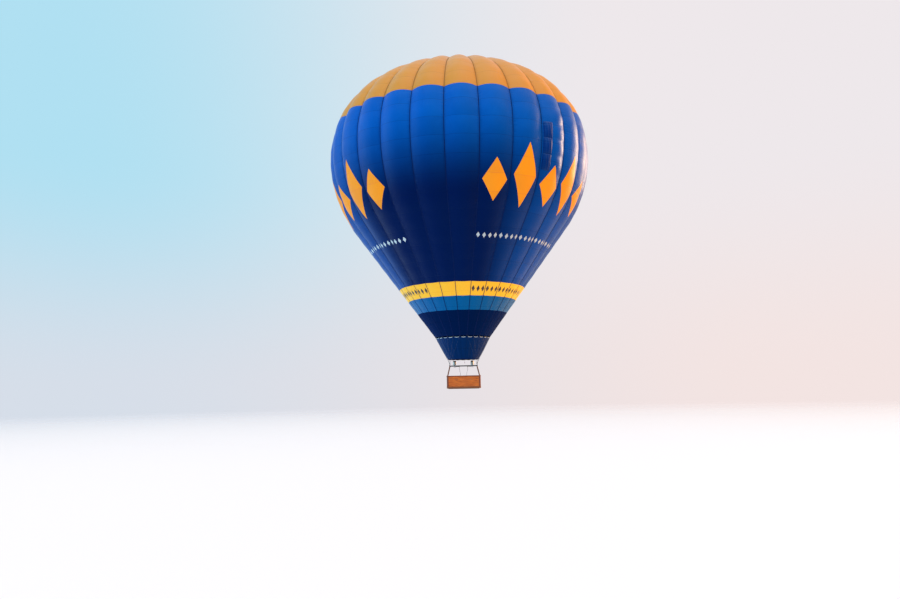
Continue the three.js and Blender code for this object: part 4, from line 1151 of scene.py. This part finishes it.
quilted = Finish("quilted_jacket", (110, 30, 36), 0.8, Sheen_Weight=0.3)
_, round_way, up_way, _ = quilted.place("UV")
thread = (round_way * 600).sine() * (up_way * 600).sine()
seam = (abs((up_way / 0.12).fract() - 0.5) > 0.485).most(abs((round_way / 0.09).fract() - 0.5) > 0.48)
faded = quilted.between(quilted.noise(quilted.vector(round_way * 5, up_way * 5), 1.0), 0.45, 0.8)
quilted.set(Base_Color=quilted.mix(
    quilted.mix((110, 30, 36), (142, 62, 62), faded), (52, 14, 18), seam * 0.7))
quilted.bump(thread * 0.3 - seam, 0.0012, 0.6)
strap_finish = webbing("black_webbing", (24, 24, 26), (70, 70, 72))

CYLINDER_X, CYLINDER_Y, WHEEL_Y, WHEEL_Z = 0.27, 0.60, 0.052, 0.985
to_wheel = Matrix.Translation((0, 0, WHEEL_Z))
strap = turned("strap", [(0.1395, -0.022), (0.1445, -0.022), (0.1450, 0), (0.1445, 0.022), (0.1395, 0.022),
                         (0.1395, -0.022)])
small_gauge = turned("small_gauge", [(0, 0), (0.022, 0), (0.022, 0.012), (0.019, 0.012), (0.019, 0.010),
                                     (0, 0.010)], 24)
small_gauge.data.transform(Matrix.Translation((0.058, -0.02, 0.948)))
fittings = (
    # a part of a cylinder, its name, finish and slot, and the node that it stands for
    (cloth("jacket", 60, 56, jacket_shape, thickness=0.003, closed=True),
     "cylinder_jacket", quilted, "jacket", "fuel_cylinder"),
    (turned("shell", [
        (0, 0.0665), (0.128, 0.0665), (0.132, 0.075), (0.132, 0.88), (0.118, 0.915), (0.09, 0.934),
        (0.034, 0.943), (0.034, 0.975), (0.022, 0.980), (0.022, 1.0), (0, 1.0)]),
     "cylinder_shell", alloy, "stainless"),
    (turned("collar", [(0.090, 0.934), (0.090, 1.030), (0.0925, 1.0345), (0.095, 1.030), (0.095, 0.934),
                       (0.090, 0.934)], 48),
     "cylinder_collar", alloy, "stainless"),
    (repeated(strap, [Matrix.Translation((0, 0, z)) for z in (0.27, 0.70)]),
     "cylinder_straps", strap_finish, "jacket"),
    (joined("wheel", [
        torus(0.030, 0.0055, 28, (0, WHEEL_Y, WHEEL_Z), rotation=(radians(90), 0, 0)),
        repeated(rod((-0.029, 0.029), WHEEL_Y, WHEEL_Z, 0.004),
                 [to_wheel @ Matrix.Rotation(number * pi / 3, 4, "Y") @ to_wheel.inverted()
                  for number in range(3)]),
        rod(0, (0.018, 0.055), WHEEL_Z, 0.008, 12)]),
     "handwheel", red_enamel, "frame_paint"),
    (small_gauge, "cylinder_gauge", cable, "stainless"),
)
for corner, x, y in CORNERS:
    at = Matrix.Translation((x * CYLINDER_X, y * CYLINDER_Y, 0))
    at = at @ Matrix.Rotation(0 if y < 0 else pi, 4, "Z")
    for part, name, finish, slot, *nodes in fittings:
        stood_for = [f"{node}_{corner}" for node in nodes]
        fit(copied(part, f"{name}_{corner}", at), finish, "hull", slot, *stood_for)
remove(*(part for part, *_ in fittings))


# Fuel hoses: braided rubber from each cylinder up to its block on the frame, with a hexagonal brass nut and
# a crimped sleeve at each end.
def smooth_route(corners, count):
    """Points along the smooth curve through a few corners, closer together where those are."""
    held = [Vector(corner) for corner in corners]
    held = [2 * held[0] - held[1], *held, 2 * held[-1] - held[-2]]
    route = []
    for before, start, end, after in zip(held, held[1:], held[2:], held[3:]):
        first, middle, last = (max(1e-6, (b - a).length) ** 0.5
                               for a, b in ((before, start), (start, end), (end, after)))
        ahead = (end - start) / middle
        leave = ((start - before) / first - (end - before) / (first + middle) + ahead) * middle
        arrive = (ahead - (after - start) / (middle + last) + (after - end) / last) * middle
        for i in range(count):
            s = i / count
            route.append(start * (2 * s ** 3 - 3 * s ** 2 + 1) + leave * (s ** 3 - 2 * s ** 2 + s)
                         + end * (3 * s ** 2 - 2 * s ** 3) + arrive * (s ** 3 - s ** 2))
    return route + [held[-2]]


def free_cord(piece, route, diameter, stiffness="stiff", **how):
    """Works out the length of a cord whose route leaves at its first point and ends on the object itself, and
    does nothing more with it.
    """
    length = sum((b - a).length for a, b in zip(route, route[1:]))


rubber = Finish("braided_rubber", (34, 34, 36), 0.6)
vector, *_ = rubber.place()
braid_marks = rubber.cells(vector, 330.0)
rubber.set(Base_Color=rubber.mix((20, 20, 22), (74, 72, 70), braid_marks))
rubber.bump(braid_marks, 0.001, 0.6)
brass = metal("brass_fitting", (198, 160, 92), 0.3)
for corner, x, y in CORNERS:
    low_x, low_y, high_x, high_y = x * CYLINDER_X, y * CYLINDER_Y, x * CLAMP_X, y * CLAMP_Y
    hose_route = smooth_route([
        (low_x, low_y, 1.0059), (low_x, low_y, 1.1259), (x * 0.29, y * 0.58, 1.4259),
        (high_x, high_y, 1.6797), (high_x, high_y, 1.9397)], 10)
    hose = tube(f"fuel_hose_braid_{corner}", hose_route, 0.009, 12)
    fit(hose, rubber, "hull", "hose", f"fuel_hose_{corner}")
    nuts = joined(f"hose_nuts_{corner}", [
        rod(low_x, low_y, (1.0010, 1.0300), 0.015), rod(low_x, low_y, (1.0300, 1.0520), 0.0115, 16),
        rod(high_x, high_y, (1.9395, 1.9150), 0.015), rod(high_x, high_y, (1.9150, 1.8950), 0.0115, 16)])
    fit(nuts, brass, "hull", "alloy")
    free_cord(hose, hose_route, 0.018, with_pieces=[nuts])

# Hose tails: from each clamp block a short hose sags to a brass clip on the gimbal, and another goes on from
# there to the valve block, with enough slack for the burner to tilt.
CLIP_X, CLIP_Y, CLIP_Z = 0.508, 0.262, 1.964
for corner, x, y in CORNERS:
    side = "left" if x < 0 else "right"
    clip = (x * CLIP_X, y * CLIP_Y, CLIP_Z)
    tails = (
        # the tail, the two bodies that it joins, and its route
        ("frame", "hull", f"{side}_gimbal",
         [(x * 0.384, y * 0.480, 1.962), (x * 0.425, y * 0.470, 1.950), (x * 0.475, y * 0.390, 1.928), clip]),
        ("gimbal", f"{side}_gimbal", f"{side}_burner",
         [clip, (x * 0.552, y * 0.185, 1.936), (x * 0.650, y * 0.150, 1.936), (x * 0.737, y * 0.150, 1.962)]),
    )
    for name, first, second, knots in tails:
        tail_route = smooth_route(knots, 8)
        tail = tube(f"hose_tail_{name}_{corner}", tail_route, 0.007, 10)
        tail.data.materials.append(rubber.material)
        free_cord(tail, tail_route, 0.014, lay="hanging")
        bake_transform(tail)
    saddle = joined(f"gimbal_clip_{corner}", [
        block((0.030, 0.022, 0.006), (clip[0], clip[1], 1.976), 0.001),
        rod(clip[0], (y * 0.274, y * 0.250), CLIP_Z, 0.0115, 16)])
    fit(saddle, brass, f"{side}_gimbal", "alloy")
    nut = bar((x * 0.731, y * 0.150, 1.960), (x * 0.7365, y * 0.150, 1.962), 0.012)
    nut.name = f"tail_nut_{corner}"
    fit(nut, brass, f"{side}_burner", "alloy")

# Rope handles: three-strand rope whose ends go through the weave and are spliced inside, two on each long
# side and one on each end. They hang in a shallow loop.
rope_finish = Finish("laid_rope", (196, 160, 112), 0.8)
vector, x, y, z = rope_finish.place()
lay = ((x + y + z * 1.4) * 520).sine()
rope_finish.set(Base_Color=rope_finish.mix((142, 104, 64), (206, 172, 126), lay * 0.5 + 0.5))
rope_finish.bump(lay + rope_finish.noise(vector, 260.0), 0.0015, 0.7)
s = np.linspace(0, 1, 25)
hang = sin(pi * s)
for number, middle in enumerate((0.62, -0.62, right_start, GIRTH / 2 - 0.62, GIRTH / 2 + 0.62, left_start)):
    rope_x, rope_y = round_wall(middle + (s - 0.5) * 0.26, 0.014 + 0.018 * hang ** 0.5)
    route = [Vector(point) for point in zip(rope_x, rope_y, 0.86 - 0.085 * hang ** 0.6)]
    rope = tube(f"rope_handle_{number + 1}", route, 0.010, 12)
    fit(rope, rope_finish, "hull", "load_tape")
    free_cord(rope, route, 0.020, "medium", lay="hanging")
